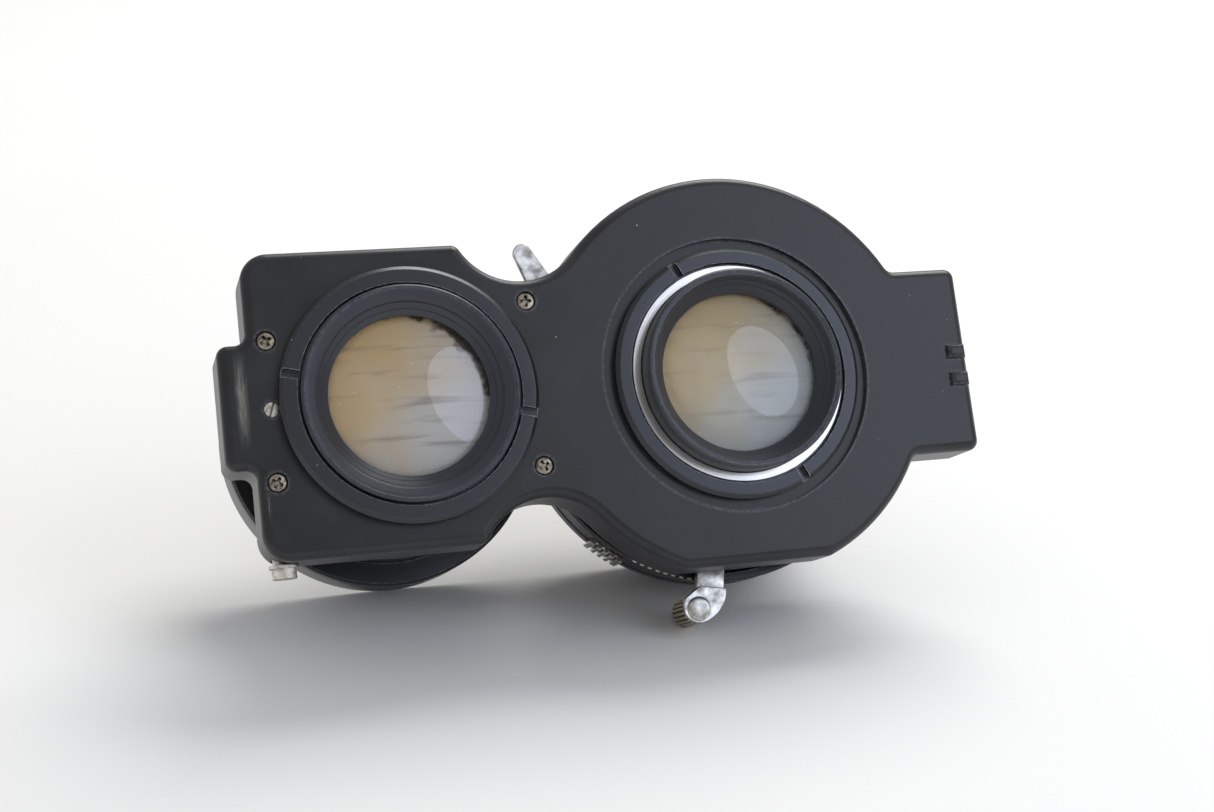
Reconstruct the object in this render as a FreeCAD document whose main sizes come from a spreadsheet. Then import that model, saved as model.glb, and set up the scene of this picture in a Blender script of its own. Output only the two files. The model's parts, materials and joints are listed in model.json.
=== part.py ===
import FreeCAD, Part
import math
import os
import re
import Sketcher
from FreeCAD import Placement, Rotation, Vector

# Twin lens unit of a medium-format twin-lens reflex: a viewing lens and a taking lens in a leaf
# shutter, both on one die-cast board. Every piece is drawn in the lens frame: X along the board,
# Y across it, Z towards the rear, zero on the taking axis at the board's rear face. The last
# section lays the finished unit down on its two front rims and the aperture knob.

SIZES = [
    # two lens axes and the pressed board that carries them
    ("axis_spacing", 50.0), ("board_radius", 30.8), ("board_flat", "=board_radius - 2.2"),
    ("board_depth", 9.0), ("board_wall", 1.4), ("board_face", 1.6), ("edge_round", 1.5),
    ("corner_round", 4.0), ("small_round", "=edge_round + 0.1"),
    ("notch_offset", "=axis_spacing - 18.6"), ("neck_half", 16.2188612),
    ("notch_radius", "=(notch_offset^2 + neck_half^2 - board_radius^2) / 2 / (board_radius - neck_half)"),
    ("view_half", 22.15),
    ("view_end", "=axis_spacing + 22.5"), ("left_tab_half", 9.0),
    ("left_tab_end", "=view_end + 4.2"), ("right_tab_half", 14.5),
    ("right_tab_end", "=board_radius + 7.4"), ("recess_radius", 20.9), ("recess_depth", 0.8),
    ("plate_thick", 1.6),
    # clearances
    ("fit_gap", 0.1), ("thread_gap", 0.05), ("run_gap", 0.3), ("pin_gap", 0.06),
    # small hardware
    ("screw_head", 1.35), ("screw_shank", 0.8), ("screw_long", 7.0), ("head_thick", 0.5),
    ("post_radius", 1.2), ("cross_width", 0.42), ("cross_long", 1.7), ("cross_depth", 0.35),
    ("set_radius", 1.1), ("set_long", 1.4), ("set_slot", 0.3), ("stud_long", 3.0),
    ("stud_wide", 2.1), ("stud_tall", 0.9), ("stud_round", 0.8),
    # viewing lens
    ("view_tube", 16.1), ("view_cell", 15.0), ("view_lip", 15.8), ("view_rim", 2.8),
    ("view_glass", 11.6), ("view_ring_outer", 18.7), ("view_ring_tall", 2.0), ("view_barrel", 18.6),
    ("barrel_radius", 21.0), ("barrel_bore", 17.6), ("tube_wall", 1.0),
    # taking lens
    ("take_tube", 16.8), ("take_cell", 15.3), ("take_rim", 4.3), ("take_lift", 0.8),
    ("take_glass", "=take_cell - 3.4"), ("take_ring_outer", 19.2), ("take_ring_tall", 1.8),
    ("flange_tall", 0.6),
    ("ring_slot", 1.2), ("slot_depth", 1.0), ("ring_chamfer", 0.6), ("cell_wall", 1.2),
    ("cell_depth", 6.8),
    # front bezels
    ("bezel_radius", 24.6), ("bezel_back", "=house_front + 7.2"),
    ("front_plane", "=bezel_back + 8.8"), ("filter_radius", 23.0), ("filter_long", 2.8),
    ("filter_depth", 4.6), ("bezel_lip", 1.8), ("trim_thick", 0.7), ("trim_rise", 0.9),
    ("front_glass", 17.3), ("front_curve", 44.0), ("glass_edge", 2.0),
    # leaf shutter, from the front plate towards the front
    ("house_radius", 28.4), ("house_wall", 0.7), ("house_floor", 1.5),
    ("house_long", 12.0), ("house_front", "=board_depth + house_long"),
    ("hub_radius", 17.2), ("cam_outer", 23.5), ("cam_inner", 17.5), ("cam_thick", 1.1),
    ("cam_pitch", 1.5), ("clear_radius", 12.6), ("bearing_thick", 0.9), ("blade_thick", 0.14),
    ("blade_pitch", 0.28), ("blade_cover", 13.8), ("blade_pivot", 23.5), ("pivot_angle", 24.0),
    ("blade_swing", 38.0), ("pivot_pin", 0.5), ("ear_radius", 1.5), ("drive_thick", 0.7),
    ("drive_outer", 27.0), ("drive_inner", 20.0), ("cover_thick", 1.0),
    ("cover_radius", "=house_radius + 1.2"), ("speed_radius", "=house_radius + 1.6"),
    ("speed_back", "=board_depth + 5.3"), ("grip_rise", 0.9), ("grip_span", 11.0), ("grip_angle", 230.5),
    ("grip_inset", 1.0),
    # levers
    ("aperture_angle", 260.9), ("aperture_travel", 62.0), ("strap_half", 2.15),
    ("strap_reach", "=house_radius + 4"), ("strap_thick", 1.0),
    ("strap_rear", "=board_depth + 0.5"), ("knob_reach", "=strap_reach + 2.4"), ("knob_aside", 2.1),
    ("knob_radius", 2.3), ("knob_long", 6.5), ("knurl_depth", 0.28), ("rivet_radius", 1.85),
    ("rivet_rise", 0.5), ("cocking_angle", 140.1), ("cocking_travel", 55.0),
    ("cocking_reach", "=house_radius + 8.1"), ("cocking_tip", 1.45), ("cocking_half", 2.2),
    ("cocking_bend", 25.0), ("cocking_arm", 8.0), ("cocking_lead", 6.8),
    ("lever_pivot", "=house_radius - 2.8"), ("lever_half", 1.1), ("lever_pin", 0.6),
    ("release_angle", 11.0), ("release_reach", 35.4), ("select_angle", -16.0),
    ("select_reach", 33.4), ("slot_margin", 7.0), ("slot_gap", 0.25), ("small_slot", 13.0),
    ("coil_radius", 1.05), ("coil_wire", 0.2), ("coil_pitch", 0.44),
    # flash terminal on the side of the board
    ("sync_place", "=axis_spacing + 19.4"), ("sync_level", "=board_depth - 3.3"),
    ("sync_thread", 1.55), ("sync_flange", 2.1),
    ("sync_bore", 1.1), ("sync_barrel", 1.75), ("sync_long", 2.0), ("sync_pin", 0.3),
]

SCREW_PLACES = [
    ("-axis_spacing - 19.7", 9.2), ("-axis_spacing - 19.8", -11.1), ("-axis_spacing + 18.6", 12.9),
    ("-axis_spacing + 18.6", -11.7),
]
SET_SCREW_PLACE = ("-axis_spacing - 19.7", -0.7)
STUD_PLACES = [(36.1, 1.0), (36.1, -3.3)]
BLADES = 5
KNURLS = 20
GRIP_TEETH = 5
COIL_TURNS = 3

doc = FreeCAD.newDocument("TwinLensUnit")
sheet = doc.addObject("Spreadsheet::Sheet", "Sizes")
for row, (alias, size) in enumerate(SIZES, start=1):
    sheet.set("A%d" % row, alias)
    sheet.set("B%d" % row, str(size))
    sheet.setAlias("B%d" % row, alias)
doc.recompute()

sub_parts = {}


def named(text):
    """An expression with each size's name pointed at the sheet."""
    return re.sub(r"\b[a-z]+_[a-z_]+\b", lambda found: "Sizes." + found.group(0), text)


def value(text):
    """The number that such an expression comes to."""
    result = sheet.evalExpression(named(str(text)))
    return float(getattr(result, "Value", result))


def new_body(label, place=None):
    body = doc.addObject("PartDesign::Body", label)
    body.Label = label
    sub_parts[label] = (body, place or Placement())
    return body


def viewing(turn=0.0):
    return Placement(Vector(-value("axis_spacing"), 0, 0), Rotation(Vector(0, 0, 1), turn))


def turned_by(angle):
    return Placement(Vector(), Rotation(Vector(0, 0, 1), angle))


def sketch(body, role="XY_Plane", level="0", turn=0.0):
    """A sketch on one of the body's origin planes, lifted to a level and turned about Z."""
    plane = next(f for f in body.Origin.OriginFeatures if f.Role == role)
    drawing = body.newObject("Sketcher::SketchObject", body.Label + "_sketch")
    drawing.AttachmentSupport = [(plane, "")]
    drawing.MapMode = "FlatFace"
    axis = Vector(0, 0, 1) if role == "XY_Plane" else Vector(0, 1, 0)
    drawing.AttachmentOffset = Placement(Vector(0, 0, value(level)), Rotation(axis, turn))
    if level != "0":
        drawing.setExpression("AttachmentOffset.Base.z", named(level))
    return drawing


def pin_point(drawing, edge, vertex, x, y):
    """Ties one end of an edge to two expressions, or to an axis where the text is 0."""
    for kind, text, axis in (("DistanceX", x, -2), ("DistanceY", y, -1)):
        if text == "0":
            drawing.addConstraint(Sketcher.Constraint("PointOnObject", edge, vertex, axis))
        else:
            tie = Sketcher.Constraint(kind, -1, 1, edge, vertex, value(text))
            number = drawing.addConstraint(tie)
            drawing.setExpression("Constraints[%d]" % number, named(text))


def add_outline(drawing, points):
    """A closed outline. A point is (x, y) before a line, or (x, y, radius, side) before an arc
    whose centre lies on that side of the way round."""
    corners = [Vector(value(p[0]), value(p[1]), 0) for p in points]
    ends = []
    for i, point in enumerate(points):
        here = corners[i]
        there = corners[(i + 1) % len(points)]
        if len(point) == 2:
            edge = drawing.addGeometry(Part.LineSegment(here, there), False)
            ends.append((edge, 1, 2))
            continue
        radius = value(point[2])
        left = point[3] == "left"
        chord = there - here
        rise = math.sqrt(max(radius ** 2 - (chord.Length / 2) ** 2, 0))
        across = Vector(-chord.y, chord.x, 0).normalize()
        centre = (here + there) * 0.5 + across * (rise if left else -rise)
        first, last = (here, there) if left else (there, here)
        begin = math.atan2(first.y - centre.y, first.x - centre.x)
        finish = math.atan2(last.y - centre.y, last.x - centre.x)
        if finish <= begin:
            finish += 2 * math.pi
        circle = Part.Circle(centre, Vector(0, 0, 1), radius)
        edge = drawing.addGeometry(Part.ArcOfCircle(circle, begin, finish), False)
        ends.append((edge, 1, 2) if left else (edge, 2, 1))
    for i, (edge, start, end) in enumerate(ends):
        following = ends[(i + 1) % len(ends)]
        drawing.addConstraint(Sketcher.Constraint("Coincident", edge, end, following[0], following[1]))
    for (edge, start, end), point in zip(ends, points):
        pin_point(drawing, edge, start, point[0], point[1])
        if len(point) == 4:
            number = drawing.addConstraint(Sketcher.Constraint("Radius", edge, value(point[2])))
            drawing.setExpression("Constraints[%d]" % number, named(point[2]))


def add_circle(drawing, x, y, radius):
    centre = Vector(value(x), value(y), 0)
    edge = drawing.addGeometry(Part.Circle(centre, Vector(0, 0, 1), value(radius)), False)
    pin_point(drawing, edge, 3, x, y)
    number = drawing.addConstraint(Sketcher.Constraint("Radius", edge, value(radius)))
    drawing.setExpression("Constraints[%d]" % number, named(radius))


def rectangle(low_x, low_y, high_x, high_y):
    return [(low_x, low_y), (high_x, low_y), (high_x, high_y), (low_x, high_y)]


def capsule(x0, y0, x1, y1, radius):
    """A round-ended bar from one centre to the other, each end in two quarter turns."""
    long = "sqrt((%s - %s)^2 + (%s - %s)^2)" % (x1, x0, y1, y0)
    ahead_x = "(%s) * (%s - %s) / %s" % (radius, x1, x0, long)
    ahead_y = "(%s) * (%s - %s) / %s" % (radius, y1, y0, long)
    return [
        ("%s + %s" % (x0, ahead_y), "%s - %s" % (y0, ahead_x)),
        ("%s + %s" % (x1, ahead_y), "%s - %s" % (y1, ahead_x), radius, "left"),
        ("%s + %s" % (x1, ahead_x), "%s + %s" % (y1, ahead_y), radius, "left"),
        ("%s - %s" % (x1, ahead_y), "%s + %s" % (y1, ahead_x)),
        ("%s - %s" % (x0, ahead_y), "%s + %s" % (y0, ahead_x), radius, "left"),
        ("%s - %s" % (x0, ahead_x), "%s - %s" % (y0, ahead_y), radius, "left"),
    ]


def add_feature(body, kind, profile, length_name, length):
    feature = body.newObject("PartDesign::" + kind, body.Label + "_" + kind.lower())
    feature.Profile = profile
    if length is not None:
        feature.setExpression(length_name, named(length))
    body.Tip = feature
    return feature


def pad(body, drawing, height):
    """Stands the sketch up from its own level towards the rear."""
    return add_feature(body, "Pad", drawing, "Length", height)


def pocket(body, drawing, depth):
    """Cuts from the sketch's own level towards the front."""
    return add_feature(body, "Pocket", drawing, "Length", depth)


def revolve(body, drawing, kind="Revolution", angle=None):
    feature = add_feature(body, kind, drawing, "Angle", angle)
    feature.ReferenceAxis = (drawing, ["V_Axis"])
    if angle is None:
        feature.Angle = 360
    else:
        feature.Midplane = True
    return feature


def turned(label, points, place=None):
    """A piece turned about the lens axis from a half section of (radius, level) points."""
    body = new_body(label, place)
    drawing = sketch(body, "XZ_Plane")
    add_outline(drawing, points)
    revolve(body, drawing)
    return body


def washer(label, inner, outer, front, rear, place=None):
    return turned(label, rectangle(inner, front, outer, rear), place)


def sector_slot(body, inner, outer, front, rear, middle, span):
    """Cuts a slot through a round wall over part of its turn."""
    drawing = sketch(body, "XZ_Plane", turn=middle)
    add_outline(drawing, rectangle(inner, front, outer, rear))
    revolve(body, drawing, "Groove", span)


def upright_edges(shape, places):
    """The names of the edges that stand along Z at the given places."""
    names = []
    for number, edge in enumerate(shape.Edges, start=1):
        ends = [v.Point for v in edge.Vertexes]
        if len(ends) != 2 or abs(ends[0].z - ends[1].z) < 0.1:
            continue
        if math.hypot(ends[0].x - ends[1].x, ends[0].y - ends[1].y) > 0.001:
            continue
        if any(math.hypot(ends[0].x - x, ends[0].y - y) < 0.01 for x, y in places):
            names.append("Edge%d" % number)
    return names


def level_edges(shape, level):
    """The names of the edges that lie in one level."""
    names = []
    for number, edge in enumerate(shape.Edges, start=1):
        box = edge.BoundBox
        if abs(box.ZMin - level) < 0.001 and abs(box.ZMax - level) < 0.001:
            names.append("Edge%d" % number)
    return names


def fillet(body, base, names, radius):
    feature = body.newObject("PartDesign::Fillet", body.Label + "_fillet")
    feature.Base = (base, names)
    feature.setExpression("Radius", named(radius))
    body.Tip = feature
    return feature


# ---- board: outline shared by the pressed board, its hollow and the plate that closes it ----

NOTCH_ACROSS = "sqrt((board_radius + notch_radius)^2 - notch_offset^2)"


def board_outline(inset):
    """The outline of the board moved inwards by the inset."""
    radius = "(board_radius - %s)" % inset
    notch = "(notch_radius + %s)" % inset
    half = "(view_half - %s)" % inset
    end = "-(view_end - %s)" % inset
    left_half = "(left_tab_half - %s)" % inset
    left_end = "-(left_tab_end - %s)" % inset
    right_half = "(right_tab_half - %s)" % inset
    right_end = "(right_tab_end - %s)" % inset
    flat = "(board_flat - %s)" % inset
    share = "%s / (board_radius + notch_radius)" % radius
    touch_x = "-notch_offset * %s" % share
    touch_y = "%s * %s" % (NOTCH_ACROSS, share)
    corner_x = "-notch_offset - sqrt(%s^2 - (%s - %s)^2)" % (notch, NOTCH_ACROSS, half)
    root_x = "sqrt(%s^2 - %s^2)" % (radius, right_half)
    flat_x = "sqrt(%s^2 - %s^2)" % (radius, flat)
    return [
        (root_x, "-" + right_half),
        (right_end, "-" + right_half),
        (right_end, right_half),
        (root_x, right_half, radius, "left"),
        (touch_x, touch_y, notch, "right"),
        (corner_x, half),
        (end, half),
        (end, left_half),
        (left_end, left_half),
        (left_end, "-" + left_half),
        (end, "-" + left_half),
        (end, "-" + half),
        (corner_x, "-" + half, notch, "right"),
        (touch_x, "-" + touch_y, radius, "left"),
        ("-" + flat_x, "-" + flat),
        (flat_x, "-" + flat, radius, "left"),
    ]


def outline_places(inset, numbers):
    """Where the numbered corners of that outline stand."""
    points = board_outline(inset)
    return [(value(points[i][0]), value(points[i][1])) for i in numbers]


OUTER_CORNERS = (6, 11)
SMALL_CORNERS = (0, 1, 2, 3, 5, 7, 8, 9, 10, 12)


def lens_board():
    """Die-cast pan: a rear face with a skirt round it, holes for both lenses and the screws."""
    body = new_body("lens_board")
    drawing = sketch(body, level="-board_depth")
    add_outline(drawing, board_outline("0"))
    block = pad(body, drawing, "board_depth")
    doc.recompute()
    names = upright_edges(block.Shape, outline_places("0", OUTER_CORNERS))
    rounded = fillet(body, block, names, "corner_round")
    doc.recompute()
    names = upright_edges(rounded.Shape, outline_places("0", SMALL_CORNERS))
    rounded = fillet(body, rounded, names, "small_round")
    doc.recompute()
    fillet(body, rounded, level_edges(rounded.Shape, 0), "edge_round")

    hollow = sketch(body, level="-board_face")
    add_outline(hollow, board_outline("board_wall"))
    inside = pocket(body, hollow, "board_depth - board_face")
    doc.recompute()
    names = upright_edges(inside.Shape, outline_places("board_wall", OUTER_CORNERS))
    fillet(body, inside, names, "corner_round - board_wall")

    recess = sketch(body)
    add_circle(recess, "0", "0", "recess_radius")
    pocket(body, recess, "recess_depth")

    holes = sketch(body)
    add_circle(holes, "0", "0", "take_tube + fit_gap")
    add_circle(holes, "-axis_spacing", "0", "view_tube + fit_gap")
    add_circle(holes, SET_SCREW_PLACE[0], str(SET_SCREW_PLACE[1]), "set_radius + thread_gap")
    for x, y in SCREW_PLACES:
        add_circle(holes, x, str(y), "screw_shank + fit_gap")
    pocket(body, holes, "board_face")

    seats = sketch(body)
    for x, y in SCREW_PLACES:
        add_circle(seats, x, str(y), "screw_head + fit_gap")
    pocket(body, seats, "head_thick + fit_gap")

    terminal = sketch(body, "XZ_Plane", level="view_half + 1")
    add_circle(terminal, "-sync_place", "-sync_level", "sync_thread + thread_gap")
    pocket(body, terminal, "board_wall + 2")

    for x, y in STUD_PLACES:
        stud = sketch(body, level="-board_face / 2")
        half_long = "stud_long / 2"
        half_wide = "stud_wide / 2"
        edges = (x, half_long), (y, half_wide)
        low = ["%s - %s" % edge for edge in edges]
        high = ["%s + %s" % edge for edge in edges]
        add_outline(stud, rectangle(low[0], low[1], high[0], high[1]))
        raised = pad(body, stud, "board_face / 2 + stud_tall")
        doc.recompute()
        fillet(body, raised, level_edges(raised.Shape, value("stud_tall")), "stud_round")


def front_plate():
    """Closes the pan from the front and carries the shutter, the viewing barrel and the posts."""
    body = new_body("front_plate")
    base = sketch(body, level="-board_depth")
    inset = "(board_wall + fit_gap)"
    add_outline(base, board_outline(inset))
    block = pad(body, base, "plate_thick")
    doc.recompute()
    names = upright_edges(block.Shape, outline_places(inset, OUTER_CORNERS))
    fillet(body, block, names, "corner_round - board_wall - fit_gap")

    posts = sketch(body, level="-board_depth + plate_thick / 2")
    for x, y in SCREW_PLACES:
        add_circle(posts, x, str(y), "post_radius")
    pad(body, posts, "board_depth - plate_thick / 2 - board_face")

    holes = sketch(body, level="-board_face")
    add_circle(holes, "0", "0", "take_tube + fit_gap")
    add_circle(holes, "-axis_spacing", "0", "view_tube + fit_gap")
    for x, y in SCREW_PLACES:
        add_circle(holes, x, str(y), "screw_shank + thread_gap")
    pocket(body, holes, "board_depth")


def board_screws():
    """Cross-head screws through the board into the front plate's posts: one turned, four set."""
    pattern = doc.addObject("PartDesign::Body", "screw_pattern")
    section = sketch(pattern, "XZ_Plane")
    add_outline(section, [
        ("0", "0"), ("0", "-screw_long"), ("screw_shank", "-screw_long"),
        ("screw_shank", "-head_thick"), ("screw_head", "-head_thick"), ("screw_head", "-0.15"),
        ("screw_head - 0.15", "0"),
    ])
    revolve(pattern, section)
    half = "cross_width / 2"
    reach = "cross_long / 2"
    cross = sketch(pattern)
    add_outline(cross, [
        (half, half), (reach, half), (reach, "-" + half), (half, "-" + half),
        (half, "-" + reach), ("-" + half, "-" + reach), ("-" + half, "-" + half),
        ("-" + reach, "-" + half), ("-" + reach, half), ("-" + half, half),
        ("-" + half, reach), (half, reach),
    ])
    pocket(pattern, cross, "cross_depth")
    doc.recompute()
    screws = []
    for number, (x, y) in enumerate(SCREW_PLACES):
        screw = pattern.Shape.copy()
        turn = 27.0 + 31.0 * number
        screw.Placement = Placement(Vector(value(x), y, -0.05), Rotation(Vector(0, 0, 1), turn))
        screws.append(screw)
    group = doc.addObject("Part::Feature", "board_screws")
    group.Shape = Part.makeCompound(screws)
    group.Label = "board_screws"
    sub_parts["board_screws"] = (group, Placement())


def ring_set_screw():
    """Slotted grub screw whose head locks the viewing ring at its edge."""
    x, y = SET_SCREW_PLACE
    place = Placement(Vector(value(x), y, -0.05), Rotation(Vector(0, 0, 1), 70))
    body = turned("ring_set_screw", rectangle("0", "-set_long", "set_radius", "0"), place)
    slot = sketch(body)
    add_outline(slot, rectangle("-set_radius - 1", "-set_slot / 2", "set_radius + 1", "set_slot / 2"))
    pocket(body, slot, "set_slot")


# ---- threaded rings that clamp both lenses to the board ----

def retaining_ring(label, inner, outer, level, tall, place):
    """Flat ring with a chamfered outer edge and two opposite spanner slots."""
    top = "%s + %s" % (level, tall)
    body = turned(label, [
        (inner, level), (outer, level), (outer, top + " - ring_chamfer"),
        (outer + " - ring_chamfer", top), (inner, top),
    ], place)
    slot = sketch(body, level=top)
    reach = outer + " + 1"
    add_outline(slot, rectangle("-(%s)" % reach, "-ring_slot / 2", reach, "ring_slot / 2"))
    pocket(body, slot, "slot_depth")


def rear_cell(label, body_radius, lip, rim, glass, seat, lift, place):
    """Threaded rear cell: a lip that sits on its tube and a stepped cone down to the glass."""
    turned(label, [
        (body_radius, seat), (lip, seat), (lip, rim + " - 0.3"), (lip + " - 0.3", rim),
        (lip + " - 1.0", rim), (glass + " + 1.9", rim + " - 0.9"), (glass + " + 1.7", rim + " - 1.3"),
        (glass + " + 0.1", lift + " + 0.3"), (glass + " + 0.1", lift + " - 0.3"),
        (body_radius + " - cell_wall", lift + " - 0.9"), (body_radius + " - cell_wall", "-cell_depth"),
        (body_radius, "-cell_depth"),
    ], place)


def lens_element(label, radius, rear, front, rear_curve, front_curve, place=None):
    """Glass with two spherical faces and a ground edge, convex both ways."""
    rear_sag = "(%s - sqrt((%s)^2 - (%s)^2))" % (rear_curve, rear_curve, radius)
    front_sag = "(%s - sqrt((%s)^2 - (%s)^2))" % (front_curve, front_curve, radius)
    turned(label, [
        ("0", "%s + %s" % (rear, rear_sag), rear_curve, "right"),
        (radius, rear),
        (radius, front, front_curve, "right"),
        ("0", "%s - %s" % (front, front_sag)),
    ], place)


def rear_optics():
    """Both rear cells with the glass, spacers and lock rings inside them."""
    view = viewing()
    rear_cell(
        "viewing_rear_cell", "view_cell", "view_lip", "view_rim", "view_glass", "tube_wall - 0.2", "0",
        view)
    view_bore = "(view_cell - cell_wall - thread_gap)"
    lens_element("viewing_rear_element", view_bore, "-1.6", "-4.4", "46", "120", view)
    washer("viewing_lock_ring", "view_glass", view_bore, "-cell_depth + 0.2", "-4.8", view)
    rear_cell(
        "taking_rear_cell", "take_cell", "take_cell - 0.1", "take_rim", "take_glass", "0.3", "take_lift",
        None)
    take_bore = "(take_cell - cell_wall - thread_gap)"
    lens_element("taking_rear_element", take_bore, "take_lift - 1.6", "-3.4", "42", "160")
    washer("taking_spacer", "take_glass", take_bore, "-4.4", "-3.6")
    lens_element("taking_inner_element", take_bore, "-4.6", "-6.3", "180", "150")
    washer("rear_flange_ring", "take_cell + thread_gap", "take_tube - 0.1", "0.3", "0.3 + flange_tall")


# ---- barrels, bezels and front glass ----

def viewing_barrel():
    """Threaded tube through the board, then the shouldered barrel up to the bezel."""
    turned("viewing_barrel", [
        ("view_cell + thread_gap", "tube_wall - 0.2"), ("view_cell + thread_gap", "-board_depth - 1.5"),
        ("barrel_bore", "-board_depth - 1.5"), ("barrel_bore", "-bezel_back - 2.3"),
        ("barrel_radius", "-bezel_back - 2.3"), ("barrel_radius", "-house_front - 2.4"),
        ("view_barrel", "-house_front - 1.6"), ("view_barrel", "-board_depth"),
        ("view_tube", "-board_depth"), ("view_tube", "tube_wall - 0.2"),
    ], viewing())


def front_bezel(label, place):
    """Deep front rim with the filter thread and an inner lip that laps the barrel's end."""
    floor = "-front_plane + filter_depth"
    turned(label, [
        ("barrel_radius + thread_gap", "-bezel_back"), ("bezel_radius - 0.4", "-bezel_back"),
        ("bezel_radius", "-bezel_back - 0.4"), ("bezel_radius", "-front_plane + 0.4"),
        ("bezel_radius - 0.4", "-front_plane"), ("filter_radius", "-front_plane"),
        ("filter_radius", "-front_plane + filter_long"),
        ("filter_radius - 0.6", "-front_plane + filter_long"),
        ("filter_radius - 0.6", floor), ("barrel_bore + 0.2", floor),
        ("barrel_bore + 0.2", floor + " + bezel_lip"), ("barrel_radius + thread_gap", floor + " + bezel_lip"),
    ], place)


def trim_ring(label, place):
    """Shallow conical ring round the front glass, at the bottom of the filter thread."""
    floor = "-front_plane + filter_depth"
    outer = "filter_radius - 0.6 - fit_gap"
    inner = "front_glass - 0.8"
    turned(label, [
        (outer, floor), (inner, floor + " - trim_rise + 0.4"), (inner, floor + " - trim_rise - trim_thick"),
        (inner + " + 0.5", floor + " - trim_rise - trim_thick"), (outer, floor + " - trim_thick"),
    ], place)


def front_optics():
    """Bezels, trim rings and the front glass of both lenses."""
    for name, place in (("viewing", viewing()), ("taking", Placement())):
        front_bezel(name + "_front_bezel", place)
        trim_ring(name + "_trim_ring", place)
        edge = "-front_plane + filter_depth + bezel_lip + 0.3"
        rear = edge + " + glass_edge"
        lens_element(name + "_front_element", "front_glass", rear, edge, "200", "front_curve", place)
        lens_element(name + "_middle_element", "14.4", "-21.4", "-24.2", "90", "90", place)
    turned("viewing_cell_tube", [
        ("14.45", "-20.6"), ("barrel_bore - thread_gap", "-20.6"), ("barrel_bore - thread_gap", "-27.4"),
        ("16.2", "-27.4"), ("16.2", "-26.4"), ("14.45", "-26.4"),
    ], viewing())
    turned("taking_cell_tube", [
        ("14.45", "-house_front - 0.2"), ("barrel_bore - thread_gap", "-house_front - 0.2"),
        ("barrel_bore - thread_gap", "-27.4"), ("16.2", "-27.4"), ("16.2", "-26.4"), ("14.45", "-26.4"),
    ])
    front = "-house_front - cover_thick"
    washer("taking_barrel", "barrel_bore", "barrel_radius", "-bezel_back - 2.3", front)


# ---- leaf shutter ----

FLOOR = "-board_depth - house_floor"
APERTURE_CAM = FLOOR + " - run_gap"
COCKING_CAM = APERTURE_CAM + " - cam_pitch"
HUB_END = COCKING_CAM + " - cam_thick - run_gap"
SHUTTER_PLATE = HUB_END + " - bearing_thick"
SHUTTER_STACK = SHUTTER_PLATE + " - run_gap"
DRIVE_REAR = SHUTTER_STACK + " - %d * blade_pitch" % BLADES + " - run_gap / 2"
IRIS_PLATE = DRIVE_REAR + " - drive_thick - run_gap"
IRIS_STACK = IRIS_PLATE + " - bearing_thick / 2 - run_gap"
STACK_DEEP = "(%d * blade_pitch)" % BLADES


def shutter_housing():
    """Cup that holds the shutter, with the rear tube in one piece and slots for the levers."""
    bore = "take_cell + thread_gap"
    wall_inner = "house_radius - house_wall"
    body = turned("shutter_housing", [
        (bore, "0.3"), (bore, HUB_END), ("hub_radius", HUB_END), ("hub_radius", FLOOR),
        (wall_inner, FLOOR), (wall_inner, "-house_front"), ("house_radius", "-house_front"),
        ("house_radius", "-board_depth"), ("take_tube", "-board_depth"), ("take_tube", "0.3"),
    ])
    inner = wall_inner + " - 0.4"
    outer = "house_radius + 1"
    lever_slots = (
        (APERTURE_CAM, value("aperture_angle + aperture_travel / 2"), "aperture_travel + 2 * slot_margin"),
        (COCKING_CAM, value("cocking_angle + cocking_lead - cocking_travel / 2"),
         "cocking_travel + 2 * slot_margin"),
        (COCKING_CAM, value("release_angle") + 1, "small_slot"),
        (COCKING_CAM, value("select_angle") + 1, "small_slot"),
    )
    for level, middle, span in lever_slots:
        low = level + " - cam_thick - slot_gap"
        high = level + " + slot_gap"
        sector_slot(body, inner, outer, low, high, middle, span)


def cam_rings():
    """Flat rings that the aperture and cocking levers turn, running on the housing's hub."""
    for label, level in (("aperture_ring", APERTURE_CAM), ("cocking_ring", COCKING_CAM)):
        washer(label, "cam_inner", "cam_outer", level + " - cam_thick", level)


def bearing_plates():
    """Plates that the two sets of blades turn on, and the pivot pins riveted into them."""
    wall = "house_radius - house_wall - thread_gap"
    washer("shutter_plate", "clear_radius", wall, SHUTTER_PLATE, HUB_END)
    washer("iris_plate", "clear_radius", wall, IRIS_PLATE + " - bearing_thick / 2", IRIS_PLATE)
    washer("blade_drive_ring", "drive_inner", "drive_outer", DRIVE_REAR + " - drive_thick", DRIVE_REAR)
    pin_row("shutter_blade_pins", SHUTTER_PLATE)
    pin_row("iris_blade_pins", IRIS_PLATE + " - bearing_thick / 2")


def pin_row(label, top):
    """One pivot pin for each blade of a set."""
    pattern = doc.addObject("PartDesign::Body", label + "_pattern")
    section = sketch(pattern, "XZ_Plane")
    add_outline(section, rectangle("0", "-%s - 0.1" % STACK_DEEP, "pivot_pin", "0"))
    revolve(pattern, section)
    doc.recompute()
    pins = []
    for number in range(BLADES):
        pin = pattern.Shape.copy()
        angle = math.radians(value("pivot_angle") + 360 / BLADES * number)
        reach = value("blade_pivot")
        place = Vector(reach * math.cos(angle), reach * math.sin(angle), value(top))
        pin.Placement = Placement(place, Rotation())
        pins.append(pin)
    group = doc.addObject("Part::Feature", label)
    group.Shape = Part.makeCompound(pins)
    group.Label = label
    sub_parts[label] = (group, Placement())


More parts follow.
